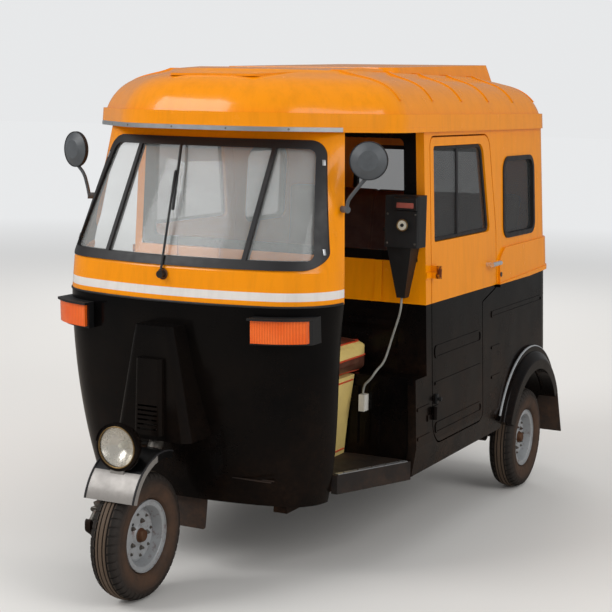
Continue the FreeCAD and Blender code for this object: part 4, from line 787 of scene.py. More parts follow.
def spotTree():
    # copies on the points of the mesh, z along the attribute facing and x along the attribute heading
    tree, entry, output = startTree("spots", {"Item": "Object", "Size": "Float", "Material": "Material"})
    facing = addNode(tree, "GeometryNodeInputNamedAttribute", {"Name": "facing"}, data_type="FLOAT_VECTOR")
    heading = addNode(tree, "GeometryNodeInputNamedAttribute", {"Name": "heading"}, data_type="FLOAT_VECTOR")
    rotation = addNode(tree, "FunctionNodeAxesToRotation", {
        "Primary Axis": facing.outputs["Attribute"], "Secondary Axis": heading.outputs["Attribute"]},
        primary_axis="Z", secondary_axis="X")
    size = addNode(tree, "ShaderNodeCombineXYZ", {"X": entry["Size"], "Y": entry["Size"], "Z": entry["Size"]})
    copies = addNode(tree, "GeometryNodeInstanceOnPoints", {
        "Points": entry["Geometry"], "Instance": itemOf(tree, entry),
        "Rotation": rotation.outputs["Rotation"], "Scale": size.outputs["Vector"]})
    return endTree(tree, entry, output, copies.outputs["Instances"])


repeatTrees = {"ring": ringTree(), "row": rowTree(), "spots": spotTree()}
print("trees built:", ", ".join(repeatTrees))


def repeated(name, treeName, itemMesh, sizes, material, carrier=None):
    # the tree's result as a plain mesh
    tree = repeatTrees[treeName]
    item = bpy.data.objects.new(name + "_item", itemMesh)
    bpy.context.scene.collection.objects.link(item)
    holder = bpy.data.objects.new(name + "_holder", carrier or bpy.data.meshes.new(name + "_holder"))
    bpy.context.scene.collection.objects.link(holder)
    modifier = holder.modifiers.new("copies", "NODES")
    modifier.node_group = tree
    values = dict(sizes, Item=item, Material=materials[material])
    for socket in tree.interface.items_tree:
        if socket.in_out == "INPUT" and socket.name in values:
            modifier[socket.identifier] = values[socket.name]
    mesh = heldMesh(holder)
    mesh.name = name
    bpy.data.objects.remove(item)
    return mesh


def onSpots(name, itemMesh, spots, material, size=1.0):
    # spots are (where, facing, heading)
    carrier = bpy.data.meshes.new(name + "_spots")
    carrier.from_pydata([tuple(where) for where, facing, heading in spots], [], [])
    for label, column in (("facing", 1), ("heading", 2)):
        layer = carrier.attributes.new(label, "FLOAT_VECTOR", "POINT")
        for index, spot in enumerate(spots):
            layer.data[index].vector = spot[column]
    return repeated(name, "spots", itemMesh, {"Size": size}, material, carrier)


screwProfile = [(-0.001, 0.0), (-0.001, 0.005), (0.001, 0.005), (0.0024, 0.0034), (0.0026, 0.0016),
                (0.0018, 0.0012), (0.0018, 0.0)]


def screwMesh():
    # domed head with a shallow dish in its middle, z outwards
    head = turnedMesh("screw", screwProfile, 12, closed=False)
    head.transform(Matrix.Rotation(-math.pi / 2, 4, "Y"))
    return head


def nutMesh(across, depth):
    # hexagon nut on its washer, with a stud end standing out along x
    washer = turnedMesh("washer", [(0.0, 0.0), (0.0, across * 0.8), (depth * 0.18, across * 0.8),
                                   (depth * 0.18, across * 0.56), (depth * 0.18, 0.0)], 16, closed=False)
    hexagon = turnedMesh("hexagon", [(0.0, 0.0), (0.0, across * 0.56), (depth * 0.9, across * 0.56),
                                     (depth, across * 0.46), (depth, 0.0)], 6, closed=False)
    stud = turnedMesh("stud", [(0.0, 0.0), (0.0, across * 0.3), (depth * 1.35, across * 0.3),
                               (depth * 1.45, across * 0.22), (depth * 1.45, 0.0)], 10, closed=False)
    return joinedMesh("nut", [washer, hexagon, stud])


def circlePoints(first, middle, last, steps):
    # points on the arc through three (y, z) points, and the outward direction at each
    ax, ay, bx, by, cx, cy = *first, *middle, *last
    twice = 2 * (ax * (by - cy) + bx * (cy - ay) + cx * (ay - by))
    first2, middle2, last2 = ax * ax + ay * ay, bx * bx + by * by, cx * cx + cy * cy
    centre = Vector(((first2 * (by - cy) + middle2 * (cy - ay) + last2 * (ay - by)) / twice,
                     (first2 * (cx - bx) + middle2 * (ax - cx) + last2 * (bx - ax)) / twice))
    start = Vector(first) - centre
    turn = start.angle_signed(Vector(last) - centre)
    outward = []
    for step in range(steps + 1):
        angle = math.atan2(start.y, start.x) - turn * step / steps
        outward.append(Vector((math.cos(angle), math.sin(angle))))
    return [centre + way * start.length for way in outward], outward


def wireMesh(name, route, radius):
    holder = bpy.data.objects.new(name, cableCurve(name, route, radius, 3))
    mesh = bpy.data.meshes.new_from_object(holder)
    bpy.data.objects.remove(holder)
    return mesh


def mirrored(mesh):
    mesh.transform(Matrix.Scale(-1, 4, (1, 0, 0)))
    mesh.flip_normals()
    return mesh


def moved(mesh, where, ahead):
    # the mesh with its x axis along ahead, at a place
    mesh.transform(turnTo(ahead))
    mesh.transform(Matrix.Translation(where))
    return mesh


# Tyres: a turned carcass with grooves, and slanted shoulder blocks round both edges of the tread
tyreSizes = {"segments": 112, "blocks": 46, "blockHalf": 0.0104, "chamfer": 0.0009, "slant": 0.16,
             "foot": 0.2, "blockMiddle": 0.036, "chamferedPoints": 6, "phase": 0.25, "sharp": 28.0,
             "turnEach": 0.37}
carcass = [
    (0.0, 0.2072), (0.0055, 0.2071), (0.0064, 0.2028), (0.0096, 0.2027), (0.0105, 0.2067),
    (0.0172, 0.2061), (0.0182, 0.2016), (0.0226, 0.2008), (0.0300, 0.1978), (0.0370, 0.1948),
    (0.0420, 0.1915), (0.0455, 0.1868), (0.0482, 0.1790), (0.0500, 0.1712), (0.0508, 0.1702),
    (0.0509, 0.1672), (0.0505, 0.1662), (0.0508, 0.1580), (0.0505, 0.1500), (0.0492, 0.1395),
    (0.0462, 0.1300), (0.0456, 0.1292), (0.0452, 0.1268), (0.0400, 0.1215), (0.0340, 0.1194),
    (0.0316, 0.1180), (0.0316, 0.1023),
]
blockOutline = [
    (0.0236, 0.2045), (0.0300, 0.2020), (0.0370, 0.1990), (0.0420, 0.1958), (0.0456, 0.1896),
    (0.0489, 0.1800), (0.0474, 0.1790), (0.0440, 0.1870), (0.0400, 0.1905), (0.0236, 0.1985),
]


def shoulderBlock():
    half, chamfer = tyreSizes["blockHalf"], tyreSizes["chamfer"]
    points = []
    for along, lower in ((-half, chamfer), (chamfer - half, 0.0), (half - chamfer, 0.0), (half, chamfer)):
        for index, (across, radius) in enumerate(blockOutline):
            skew = tyreSizes["slant"] * (across - tyreSizes["blockMiddle"])
            drop = lower if index < tyreSizes["chamferedPoints"] else 0.0
            points.append((across, along + skew, radius - tyreSizes["foot"] - drop))
    size = len(blockOutline)
    faces = [tuple(range(size)), tuple(range(3 * size, 4 * size))]
    return meshOf("shoulder_block", points, faces + ringFaces(4, size))


def makeTyre(name, body, axle, count):
    profile = carcass + [(-across, radius) for across, radius in carcass[:0:-1]]
    parts = [turnedMesh("carcass", profile, tyreSizes["segments"])]
    for side in (1, -1):
        block = shoulderBlock() if side > 0 else mirrored(shoulderBlock())
        sizes = {"Count": tyreSizes["blocks"], "Radius": tyreSizes["foot"],
                 "Phase": tyreSizes["phase"] * side}
        parts.append(repeated("blocks", "ring", block, sizes, "tyreRubber"))
    mesh = joinedMesh(name, parts)
    mesh.transform(Matrix.Translation(axle) @ Matrix.Rotation(tyreSizes["turnEach"] * count, 4, "X"))
    dress(name, mesh, "tyreRubber", body, "tyre", name, sharp=tyreSizes["sharp"])


# What is bolted to the rims: hub nuts, rim bolts, grease cap and valve; distances out from the wheel's middle
hubSizes = {"face": 0.0078, "nuts": 5, "nutCircle": 0.046, "nutAcross": 0.0105, "nutDepth": 0.0090,
            "bolts": 8, "boltCircle": 0.069, "boltAcross": 0.0070, "boltDepth": 0.0050,
            "valveCircle": 0.086, "turn": 0.9, "turnEach": 0.7}
capProfile = [(0.0138, 0.0232), (0.0165, 0.0236), (0.0178, 0.0212), (0.0262, 0.0196), (0.0298, 0.0166),
              (0.0312, 0.0), (0.0290, 0.0), (0.0280, 0.0152), (0.0250, 0.0176), (0.0138, 0.0186)]
valveProfile = [(-0.006, 0.0), (-0.006, 0.0052), (0.004, 0.0048), (0.010, 0.0036), (0.022, 0.0034),
                (0.0225, 0.0042), (0.031, 0.0040), (0.0325, 0.0028), (0.0325, 0.0)]


def boltRing(kind):
    sizes = {"Across": hubSizes["face"], "Phase": 0.0, "Count": hubSizes[kind + "s"],
             "Radius": hubSizes[kind + "Circle"]}
    nut = nutMesh(hubSizes[kind + "Across"], hubSizes[kind + "Depth"])
    return repeated(kind + "s", "ring", nut, sizes, "darkSteel")


def makeHub(name, body, axle, side, count):
    nuts = joinedMesh("nuts", [boltRing("nut"), boltRing("bolt")])
    valve = turnedMesh("valve", valveProfile, 14, closed=False)
    valve.transform(Matrix.Translation((0, 0, hubSizes["valveCircle"])))
    turn = Matrix.Rotation(hubSizes["turn"] + hubSizes["turnEach"] * count, 4, "X")
    for label, mesh, finish, slot in (("nuts", nuts, "darkSteel", "steel"),
                                      ("cap", turnedMesh("cap", capProfile, 40), "rustySteel", "steel"),
                                      ("valve", valve, "sealRubber", "rubber")):
        if side < 0:
            mirrored(mesh)
        mesh.transform(Matrix.Translation(axle) @ turn)
        dress("%s_%s" % (name, label), mesh, finish, body, slot)


wheelRows = [("front", "front_wheel", frontAxle, 1), ("rear_left", "rear_wheel_left", leftAxle, 1),
             ("rear_right", "rear_wheel_right", rightAxle, -1)]
for count, (wheel, body, axle, side) in enumerate(wheelRows):
    makeTyre(wheel + "_tyre", body, axle, count)
    makeHub(wheel + "_hub", body, axle, side, count)
print("wheels dressed")


# Headlamp: fluted lens, reflector bowl with its bulb, brass ring and the hood over the black ring;
# profiles are (depth behind the rim, radius)
lampSizes = {"y": -0.116, "z": 0.514, "lens": 0.0636, "wall": 0.0022, "front": -0.008, "crown": 0.0125,
             "crownPower": 2.6, "flute": 0.0095, "fluteDepth": 0.0008, "fluteEnd": 0.92, "fluteFade": 0.004,
             "rings": 44, "segments": 120}
bowlSizes = {"lip": (0.0075, (0.0632, 0.0618)), "depth": 0.040, "steps": 10, "inside": (0.0085, 0.0610),
             "outside": (0.0100, 0.0625)}
bulbProfile = [(0.0485, 0.0), (0.0485, 0.012), (0.040, 0.012), (0.034, 0.009), (0.024, 0.0085),
               (0.019, 0.006), (0.0175, 0.0)]
brassProfile = [(-0.0018, 0.0630), (-0.0026, 0.0645), (-0.0018, 0.0662), (0.0004, 0.0668), (0.0035, 0.0645),
                (0.0040, 0.0632)]
hoodSizes = {"half": 80.0, "steps": 24, "reach": 0.0065, "least": 0.0015, "back": (0.004, 0.0762),
             "outer": 0.0768, "inner": 0.0745, "foot": (0.0, 0.0738)}


def lampPiece(name, mesh, finish, slot, *replaced, sharp=35.0):
    # from depth along local x to the lamp's place on the vehicle
    turn = Matrix.Rotation(math.pi / 2, 4, "Z")
    mesh.transform(Matrix.Translation(place(0, lampSizes["y"], lampSizes["z"])) @ turn)
    dress(name, mesh, finish, "steering", slot, *replaced, sharp=sharp)


def lensMesh():
    outer, segments = lampSizes["lens"], lampSizes["segments"]
    points = []
    for ring in range(lampSizes["rings"] + 1):
        radius = outer * ring / lampSizes["rings"]
        depth = lampSizes["front"] + lampSizes["crown"] * (radius / outer) ** lampSizes["crownPower"]
        fade = max(0.0, min(1.0, (outer * lampSizes["fluteEnd"] - radius) / lampSizes["fluteFade"]))
        for step in range(segments):
            angle = 2 * math.pi * step / segments
            across, up = radius * math.sin(angle), radius * math.cos(angle)
            flute = abs(math.sin(math.pi * across / lampSizes["flute"])) * lampSizes["fluteDepth"] * fade
            points.append((depth + flute, -across, up))
    backs = [(along + lampSizes["wall"], across, up) for along, across, up in points]
    first, rim = len(points), lampSizes["rings"] * segments
    faces = ringFaces(lampSizes["rings"] + 1, segments)
    faces += ringFaces(lampSizes["rings"] + 1, segments, first=first)
    for step in range(segments):
        here, following = rim + step, rim + (step + 1) % segments
        faces.append((here, following, first + following, first + here))
    return meshOf("lamp_lens", points + backs, faces)


def bowlLine(start, radius, order):
    steps = bowlSizes["steps"]
    return [(start + bowlSizes["depth"] * (1 - (step / steps) ** 2), radius * step / steps) for step in order]


def bowlMesh():
    lip, radii = bowlSizes["lip"]
    profile = [(lip, radius) for radius in radii]
    profile += bowlLine(*bowlSizes["inside"], range(bowlSizes["steps"], -1, -1))
    profile += bowlLine(*bowlSizes["outside"], range(bowlSizes["steps"] + 1))
    return turnedMesh("reflector", profile, 64)


def hoodMesh():
    points, steps = [], hoodSizes["steps"]
    for step in range(steps + 1):
        angle = math.radians(hoodSizes["half"] * (2 * step / steps - 1))
        reach = hoodSizes["reach"] * math.cos(angle) + hoodSizes["least"]
        corners = (hoodSizes["back"], (-reach, hoodSizes["outer"]), (-reach, hoodSizes["inner"]),
                   hoodSizes["foot"])
        points += [(along, radius * math.sin(angle), radius * math.cos(angle)) for along, radius in corners]
    faces = [tuple(range(4)), tuple(range(4 * steps, 4 * steps + 4))]
    return meshOf("hood", points, faces + ringFaces(steps + 1, 4))


def makeHeadlamp():
    lampPiece("lamp_lens", lensMesh(), "lampGlass", "lamp_glass", "headlamp_lens", sharp=60.0)
    lampPiece("lamp_reflector", bowlMesh(), "reflector", "chrome")
    lampPiece("lamp_bulb", turnedMesh("bulb", bulbProfile, 24, closed=False), "lampBulb", "lamp_glass")
    lampPiece("lamp_inner_ring", turnedMesh("brass_ring", brassProfile, 72), "brass", "steel")
    lampPiece("lamp_hood", hoodMesh(), "blackPaint", "black_paint")


makeHeadlamp()
print("headlamp dressed")


# Cushions: a crowned form that is drawn in between its corners, blown up a little as cloth
cushionSizes = {"voxel": 0.006, "pressure": 4.0, "stiffness": 25, "frames": 14, "substeps": 2, "round": 0.022,
                "swell": 0.006, "cuts": 31, "inset": 0.003, "pull": 0.006, "sideReach": 0.03, "sharp": 80.0}
channelSizes = {"width": 0.006, "stitchStep": 0.0095, "beside": 0.006}


def clamped(value, limit):
    return max(-limit, min(limit, value))


def pillowMesh(half, crown):
    # half sizes (a, b, c) about the middle, the crown on +z
    a, b, c = half
    shape = bmesh.new()
    bmesh.ops.create_cube(shape, size=2.0)
    bmesh.ops.subdivide_edges(shape, edges=shape.edges[:], cuts=cushionSizes["cuts"], use_grid_fill=True)
    bend, pull = cushionSizes["round"], cushionSizes["pull"]
    for vertex in shape.verts:
        u, v, w = vertex.co
        point = Vector((u * a, v * b, w * c))
        core = Vector((clamped(point.x, a - bend), clamped(point.y, b - bend), clamped(point.z, c - bend)))
        away = point - core
        if away.length > 0:
            point = core + away.normalized() * bend
        point.x *= 1 - pull / a * (1 - v * v)
        point.y *= 1 - pull / b * (1 - u * u)
        if w > 0:
            point.z += w * (crown * (1 - u ** 4) * (1 - v ** 4) - crown)
        vertex.co = point
    mesh = bpy.data.meshes.new("pillow")
    shape.to_mesh(mesh)
    shape.free()
    return mesh


def evenMesh(mesh):
    # remeshed in even cells
    holder = bpy.data.objects.new("even", mesh)
    bpy.context.scene.collection.objects.link(holder)
    cells = holder.modifiers.new("cells", "REMESH")
    cells.mode = "VOXEL"
    cells.voxel_size = cushionSizes["voxel"]
    return heldMesh(holder)


def blownUp(mesh):
    # a short cloth simulation under pressure; no point moves further than the swell
    holder = bpy.data.objects.new("cloth", mesh)
    bpy.context.scene.collection.objects.link(holder)
    cloth = holder.modifiers.new("cloth", "CLOTH")
    cloth.settings.quality = cushionSizes["substeps"]
    cloth.settings.use_pressure = True
    cloth.settings.uniform_pressure_force = cushionSizes["pressure"]
    cloth.settings.effector_weights.gravity = 0.0
    cloth.settings.tension_stiffness = cushionSizes["stiffness"]
    cloth.settings.compression_stiffness = cushionSizes["stiffness"]
    cloth.collision_settings.use_collision = False
    cloth.point_cache.frame_start = 1
    cloth.point_cache.frame_end = cushionSizes["frames"]
    for tick in range(1, cushionSizes["frames"] + 1):
        bpy.context.scene.frame_set(tick)
    shaped = heldMesh(holder)
    for vertex, start in zip(shaped.vertices, mesh.vertices):
        step = vertex.co - start.co
        if step.length > cushionSizes["swell"]:
            vertex.co = start.co + step.normalized() * cushionSizes["swell"]
    bpy.context.scene.frame_set(1)
    return shaped


def makeCushion(name, node, seat, material):
    # channels across the seat are pressed into the crowned side and its edges
    a, b, c = seat["half"]
    inset = cushionSizes["inset"]
    mesh = evenMesh(pillowMesh((a - inset, b - inset, c - inset), seat["crown"]))
    mesh = blownUp(mesh)
    for vertex in mesh.vertices:
        point = vertex.co
        for across in seat["channels"]:
            near = math.exp(-((point.x - across) / channelSizes["width"]) ** 2)
            if point.z > 0 or abs(point.y) > b - cushionSizes["sideReach"]:
                inward = Vector((0, 0, 1)) if point.z > c * 0.4 else Vector((0, math.copysign(1, point.y), 0))
                point = point - inward * seat["channelDepth"] * near
        vertex.co = Vector((clamped(point.x, a), clamped(point.y, b), clamped(point.z, c)))
    tip = Matrix.Rotation(math.radians(seat["tip"]), 4, "X")
    mesh.transform(Matrix.Translation(place(*seat["middle"])) @ tip)
    mesh.name = name
    mesh.materials.clear()
    dress(name, mesh, material, "body", "seat_vinyl", node, sharp=cushionSizes["sharp"])
    skins[name] = BVHTree.FromPolygons([vertex.co for vertex in mesh.vertices],
                                       [face.vertices for face in mesh.polygons])


# Seats: half sizes across, back and up; tip stands a seat up into a backrest; piping is at these heights
driverSeat = {"half": (0.392, 0.164, 0.0625), "middle": (0.0, 0.724, 0.7025), "tip": 0.0, "crown": 0.016,
              "channels": (-0.13, 0.13), "channelDepth": 0.005, "piping": (0.748, 0.701, 0.646)}
bench = {"half": (0.552, 0.230, 0.050), "middle": (0.0, 1.730, 0.740), "tip": 0.0, "crown": 0.018,
         "channels": (-0.33, -0.11, 0.11, 0.33), "channelDepth": 0.006, "piping": (0.772, 0.704)}
backrest = {"half": (0.536, 0.262, 0.043), "middle": (0.0, 2.036, 0.958), "tip": 82.8, "crown": 0.016,
            "channels": (-0.33, -0.11, 0.11, 0.33), "channelDepth": 0.006}
makeCushion("driver_cushion", "driver_seat_cushion", driverSeat, "driverVinyl")
makeCushion("rear_cushion", "bench_cushion", bench, "benchVinyl")
makeCushion("rear_backrest", "bench_backrest", backrest, "brownVinyl")
print("cushions made")


pipingSizes = {"radius": 0.0034, "grow": 0.01, "bend": 0.03, "inside": 0.02, "spacing": 0.02}
skirtSizes = {"half": 0.350, "frontY": 0.628, "rearY": 0.790, "foot": 0.355, "height": 0.285, "flareX": 0.032,
              "flareY": 0.030, "edges": (0.372, 0.622), "edging": 0.003, "clear": 0.05, "corner": 0.03,
              "cornerRay": (0.46, 0.50), "cornerRows": 11, "cornerStep": 0.025}


def roundSide(skin, seat, height):
    # places and outward directions round the side of a seat at one height
    x, y, z = seat["middle"]
    a, b = seat["half"][0] + pipingSizes["grow"], seat["half"][1] + pipingSizes["grow"]
    corners = [(x + u * a, y + v * b, pipingSizes["bend"]) for u, v in ((-1, -1), (1, -1), (1, 1), (-1, 1))]
    halfX = x + a - (b - pipingSizes["inside"])
    places, ways = [], []
    for u, v in roundedLoop(corners, steps=8, spacing=pipingSizes["spacing"]):
        start = place(u, v, height)
        way = (place(clamped(u, halfX), y, height) - start).normalized()
        where, normal, face, distance = skins[skin].ray_cast(start - way * 0.1, way)
        if where:
            places.append(where)
            ways.append(-way)
    return places, ways


def skirtRays(low):
    # lines that meet the flared skirt of the driver's seat along one height, from the left round the front
    grow = (low - skirtSizes["foot"]) / skirtSizes["height"]
    x = skirtSizes["half"] + skirtSizes["flareX"] * grow
    y = skirtSizes["frontY"] - skirtSizes["flareY"] * grow
    clear, corner, rearY = skirtSizes["clear"], skirtSizes["corner"], skirtSizes["rearY"]
    back = rearY - y - corner
    rays = [(place(-x - clear, rearY - step * back / 8, low), (1, 0, 0)) for step in range(9)]
    rays += [(place((x - corner) * (step / 8 - 1), y - clear, low), (0, 1, 0)) for step in range(17)]
    rays += [(place(x + clear, y + corner + step * back / 8, low), (-1, 0, 0)) for step in range(9)]
    return rays


def makePiping():
    section = roundSection(pipingSizes["radius"], 8)
    for name, seat in (("driver", driverSeat), ("rear", bench)):
        cords = [sweptMesh("piping", *roundSide(name + "_cushion", seat, height), section, closed=True)
                 for height in seat["piping"]]
        dress(name + "_piping", cords, "pipingVinyl", "body", "seat_vinyl", sharp=60.0)
    routes = [skirtRays(low) for low in skirtSizes["edges"]]
    outX, outY = skirtSizes["cornerRay"]
    for side in (-1, 1):
        routes.append([(place(side * outX, outY, skirtSizes["edges"][0] + skirtSizes["cornerStep"] * step),
                        (-side, 1.0, 0)) for step in range(skirtSizes["cornerRows"])])
    edging = [sweptMesh("edging", *hits("driver_seat_base", rays), roundSection(skirtSizes["edging"], 8))
              for rays in routes]
    dress("skirt_edging", edging, "pipingVinyl", "body", "seat_vinyl", sharp=60.0)


def stitchMesh():
    return turnedMesh("stitch", [(-0.0030, 0.0), (-0.0024, 0.0005), (0.0, 0.0007), (0.0024, 0.0005),
                                 (0.0030, 0.0)], 6, closed=False)


def seamStitches(name, skin, channels, low, high, way):
    # stitches on both sides of each channel, between two (y, z) places
    spots = []
    for x in channels:
        start, end = place(x, *low), place(x, *high)
        run = end - start
        count = int(run.length / channelSizes["stitchStep"])
        beside = run.normalized().cross(way)
        for offset in (-channelSizes["beside"], channelSizes["beside"]):
            for step in range(1, count):
                origin = start + run * step / count + beside * offset
                where, normal, face, distance = skins[skin].ray_cast(origin, way)
                if where:
                    spots.append((where, normal if normal.dot(way) < 0 else -normal, run.normalized()))
    dress(name, onSpots(name, stitchMesh(), spots, "threadVinyl"), None, "body", "seat_vinyl")


makePiping()
down, back = Vector((0, 0, -1)), Vector((0, 1, 0))
seamStitches("driver_stitches", "driver_cushion", driverSeat["channels"], (0.59, 1.0), (0.86, 1.0), down)
seamStitches("rear_stitches", "rear_cushion", bench["channels"], (1.53, 1.0), (1.93, 1.0), down)
seamStitches("backrest_stitches", "rear_backrest", backrest["channels"], (1.9, 0.74), (1.9, 1.18), back)
print("piping and stitches made")


# Trim on the front: belt bead, drip strip with its screws, windscreen clips, wiper washer
trimSizes = {"beltZ": 0.9385, "belt": (-57, 57, 90), "lipReadZ": 1.506, "lipZ": 1.4925, "middleY": 0.95,
             "drip": (-104, 46, 100), "lip": (46, 104, 40), "dripScrews": 12, "clip": (0.011, 0.020, 0.003),
             "washerAt": (-0.017, 1.025), "washerReadZ": 1.003}
clipPlaces = [(0.42, 0.464, 1.387), (0.476, 0.377, 1.109), (-0.42, 0.464, 1.387), (-0.476, 0.377, 1.109)]


def frontTurn(node, height, fromAngle, toAngle, steps):
    # places round the front at one height, seen from the middle; angles count from straight ahead to the left
    places, ways = [], []
    middle = place(0, trimSizes["middleY"], height)
    for step in range(steps + 1):
        angle = math.radians(fromAngle + (toAngle - fromAngle) * step / steps)
        away = Vector((math.sin(angle), -math.cos(angle), 0))
        pair = hit(node, middle + away * 2.0, -away)
        if pair and pair[1].dot(away) > 0.1 and abs(pair[1].z) < 0.7:
            places.append(pair[0])
            ways.append(pair[1])
    return places, ways


def flatStrip(width, height):
    half = width / 2
    return [(-half, -0.0004), (-half, height * 0.6), (-half + height * 0.4, height),
            (half - height * 0.4, height), (half, height * 0.6), (half, -0.0004)]


def lipTurn(fromAngle, toAngle, steps):
    # round the lower edge of the roof's lip, read just above the seat of the side walls
    places, ways = frontTurn("roof_shell", trimSizes["lipReadZ"], fromAngle, toAngle, steps)
    return [Vector((where.x, where.y, trimSizes["lipZ"])) for where in places], ways


def makeFrontTrim():
    places, ways = frontTurn("cab_front", trimSizes["beltZ"], *trimSizes["belt"])
    belt = sweptMesh("belt_bead", places, ways, beadSection(0.008, 0.0035))
    dress("belt_bead", belt, "sealRubber", "body", "rubber", sharp=50.0)
    places, ways = lipTurn(*trimSizes["drip"])
    drip = sweptMesh("drip_strip", places, ways, flatStrip(0.0150, 0.0016))
    dress("drip_strip", drip, "silverTrim", "body", "silver_paint", sharp=40.0)
    spots = [(places[index], ways[index], Vector((0, 0, 1)))
             for index in range(5, len(places) - 2, trimSizes["dripScrews"])]
    screws = onSpots("drip_screws", screwMesh(), spots, "darkSteel", 0.85)
    edge = sweptMesh("lip_edge", *lipTurn(*trimSizes["lip"]), flatStrip(0.0165, 0.0014))
    dress("lip_edge", edge, "roofPaint", "body", "yellow_paint", sharp=40.0)
    dress("drip_screws", screws, None, "body", "steel")
    clips = []
    rays = [(place(x * 0.985, y - 0.4, z), (0, 1, 0)) for x, y, z in clipPlaces]
    for where, facing in zip(*hits("windscreen_rubber", rays)):
        clip = blockMesh("clip", trimSizes["clip"], 0.0008)
        clip.transform(facing.to_track_quat("Z", "Y").to_matrix().to_4x4())
        clip.transform(Matrix.Translation(where))
        clips.append(clip)
    dress("screen_clips", clips, "silverTrim", "body", "silver_paint")
    x, z = trimSizes["washerAt"]
    where, facing = hit("cab_front", place(x, -0.5, trimSizes["washerReadZ"]), (0, 1, 0))
    washer = turnedMesh("washer", [(0.0, 0.0135), (0.0, 0.0190), (0.0018, 0.0184), (0.0022, 0.0135)], 28)
    moved(washer, Vector((x, where.y - 0.001, z)), (0, -1, 0))
    dress("wiper_washer", washer, "rustySteel", "body", "steel")


makeFrontTrim()


# Windows: black channel round the door panes with the divider of the sliding pane
windowTrim = {"corners": [(0.992, 1.107, 0.010), (1.54125, 1.107, 0.016), (1.4723, 1.428, 0.042),
                          (0.992, 1.428, 0.010)], "spacing": 0.04, "channel": (0.013, 0.006),
              "divider": (0.014, 0.007), "dividerY": 1.228,
              "dividerLow": 1.104, "dividerStep": 0.0325, "dividerRows": 11}


def makeWindowTrim():
    loop = roundedLoop(windowTrim["corners"], spacing=windowTrim["spacing"])
    rows = [(windowTrim["dividerY"], windowTrim["dividerLow"] + windowTrim["dividerStep"] * step)
            for step in range(windowTrim["dividerRows"])]
    for node, side in (("door_left", 1), ("door_right", -1)):
        parts = []
        for label, spots, closed in (("channel", loop, True), ("divider", rows, False)):
            rays = [(place(side, y, z), (-side, 0, 0)) for y, z in spots]
            places, ways = hits(node + "_glass", rays)
            parts.append(sweptMesh(label, places, ways, flatStrip(*windowTrim[label]), closed=closed))
        dress(node + "_trim", parts, "sealRubber", node, "rubber")


makeWindowTrim()
print("front and window trim made")


# Mirrors: glass and rim on the side that faces the driver, at (x, y, z) and turned by degrees
mirrorRows = [(0.578, 0.440, 1.400, 18), (-0.546, 0.440, 1.400, -18)]
mirrorProfiles = {
    "rims": [(-0.002, 0.0600), (-0.002, 0.0618), (0.0085, 0.0622), (0.0120, 0.0606), (0.0122, 0.0562),
             (0.0102, 0.0552), (0.0100, 0.0600)],
    "glass": [(0.0100, 0.0), (0.0100, 0.0560), (0.0110, 0.0556), (0.0116, 0.0)],
}


def makeMirrors():
    for label, finish, slot in (("rims", "sealRubber", "black_plastic"), ("glass", "chrome", "chrome")):
        meshes = []
        for x, y, z, turn in mirrorRows:
            facing = Matrix.Rotation(math.radians(turn), 4, "Z") @ Vector((0, 1, 0))
            mesh = turnedMesh(label, mirrorProfiles[label], 56, closed=label == "rims")
            meshes.append(moved(mesh, place(x, y, z), facing))
        dress("mirror_" + label, meshes, finish, "body", slot)


makeMirrors()


# Fare meter: dial with its brass ring, display window and case screws
meter = {"front": 0.812, "dial": (0.547, 0.798, 1.170), "display": (0.556, 0.7968, 1.240), "tilt": -8.5,
         "displaySize": (0.062, 0.003, 0.022), "labelSize": (0.062, 0.003, 0.006),
         "labelAt": (0, -0.0006, 0.0150), "screwsX": (0.486, 0.588), "screwsZ": (1.106, 1.206)}
dialRing = [(0.0, 0.0165), (0.0, 0.0208), (0.0022, 0.0204), (0.0030, 0.0186), (0.0012, 0.0165)]
dialFace = [(0.0, 0.0), (0.0, 0.0168), (0.0006, 0.0166), (0.0006, 0.0)]
dialKnob = [(0.0, 0.0), (0.0, 0.0062), (0.0052, 0.0056), (0.0060, 0.0)]


def makeMeterFace():
    for name, mesh, finish, slot in (
            ("meter_ring", turnedMesh("ring", dialRing, 40), "brass", "steel"),
            ("meter_face", turnedMesh("face", dialFace, 40, closed=False), "paleDial", "white_plastic"),
            ("meter_knob", turnedMesh("knob", dialKnob, 24, closed=False), "blackPlastic", "black_plastic")):
        dress(name, moved(mesh, place(*meter["dial"]), (0, -1, 0)), finish, "body", slot)
    tilt = Matrix.Translation(place(*meter["display"])) @ Matrix.Rotation(math.radians(meter["tilt"]), 4, "X")
    for name, mesh, finish, slot in (
            ("meter_display", blockMesh("display", meter["displaySize"], 0.0007), "displayGlass", "red_lens"),
            ("meter_label", blockMesh("label", meter["labelSize"], 0.0007, meter["labelAt"]), "paleDial",
             "white_plastic")):
        mesh.transform(tilt)
        dress(name, mesh, finish, "body", slot)
    spots = [(place(x, meter["front"], z), Vector((0, -1, 0)), Vector((0, 0, 1)))
             for x in meter["screwsX"] for z in meter["screwsZ"]]
    dress("meter_screws", onSpots("meter_screws", screwMesh(), spots, "steel", 0.8), None, "body", "steel")


makeMeterFace()


# Handlebar: ribbed rubber grips on the ends and a dial on the pod
gripSizes = {"outer": (0.285, 0.478, 0.985), "inner": (0.180, 0.432, 1.000), "ribs": 14, "firstRib": 0.008,
             "ribStep": 0.0062, "valley": 0.0178, "ridge": 0.0190, "dial": (0, 0.372, 1.0218)}
ribShape = ((0.0, "valley"), (0.0012, "ridge"), (0.0034, "ridge"), (0.0046, "valley"))
dialBezel = [(0.0, 0.0), (0.0, 0.0235), (0.0040, 0.0230), (0.0044, 0.0205), (0.0020, 0.0200), (0.0020, 0.0)]


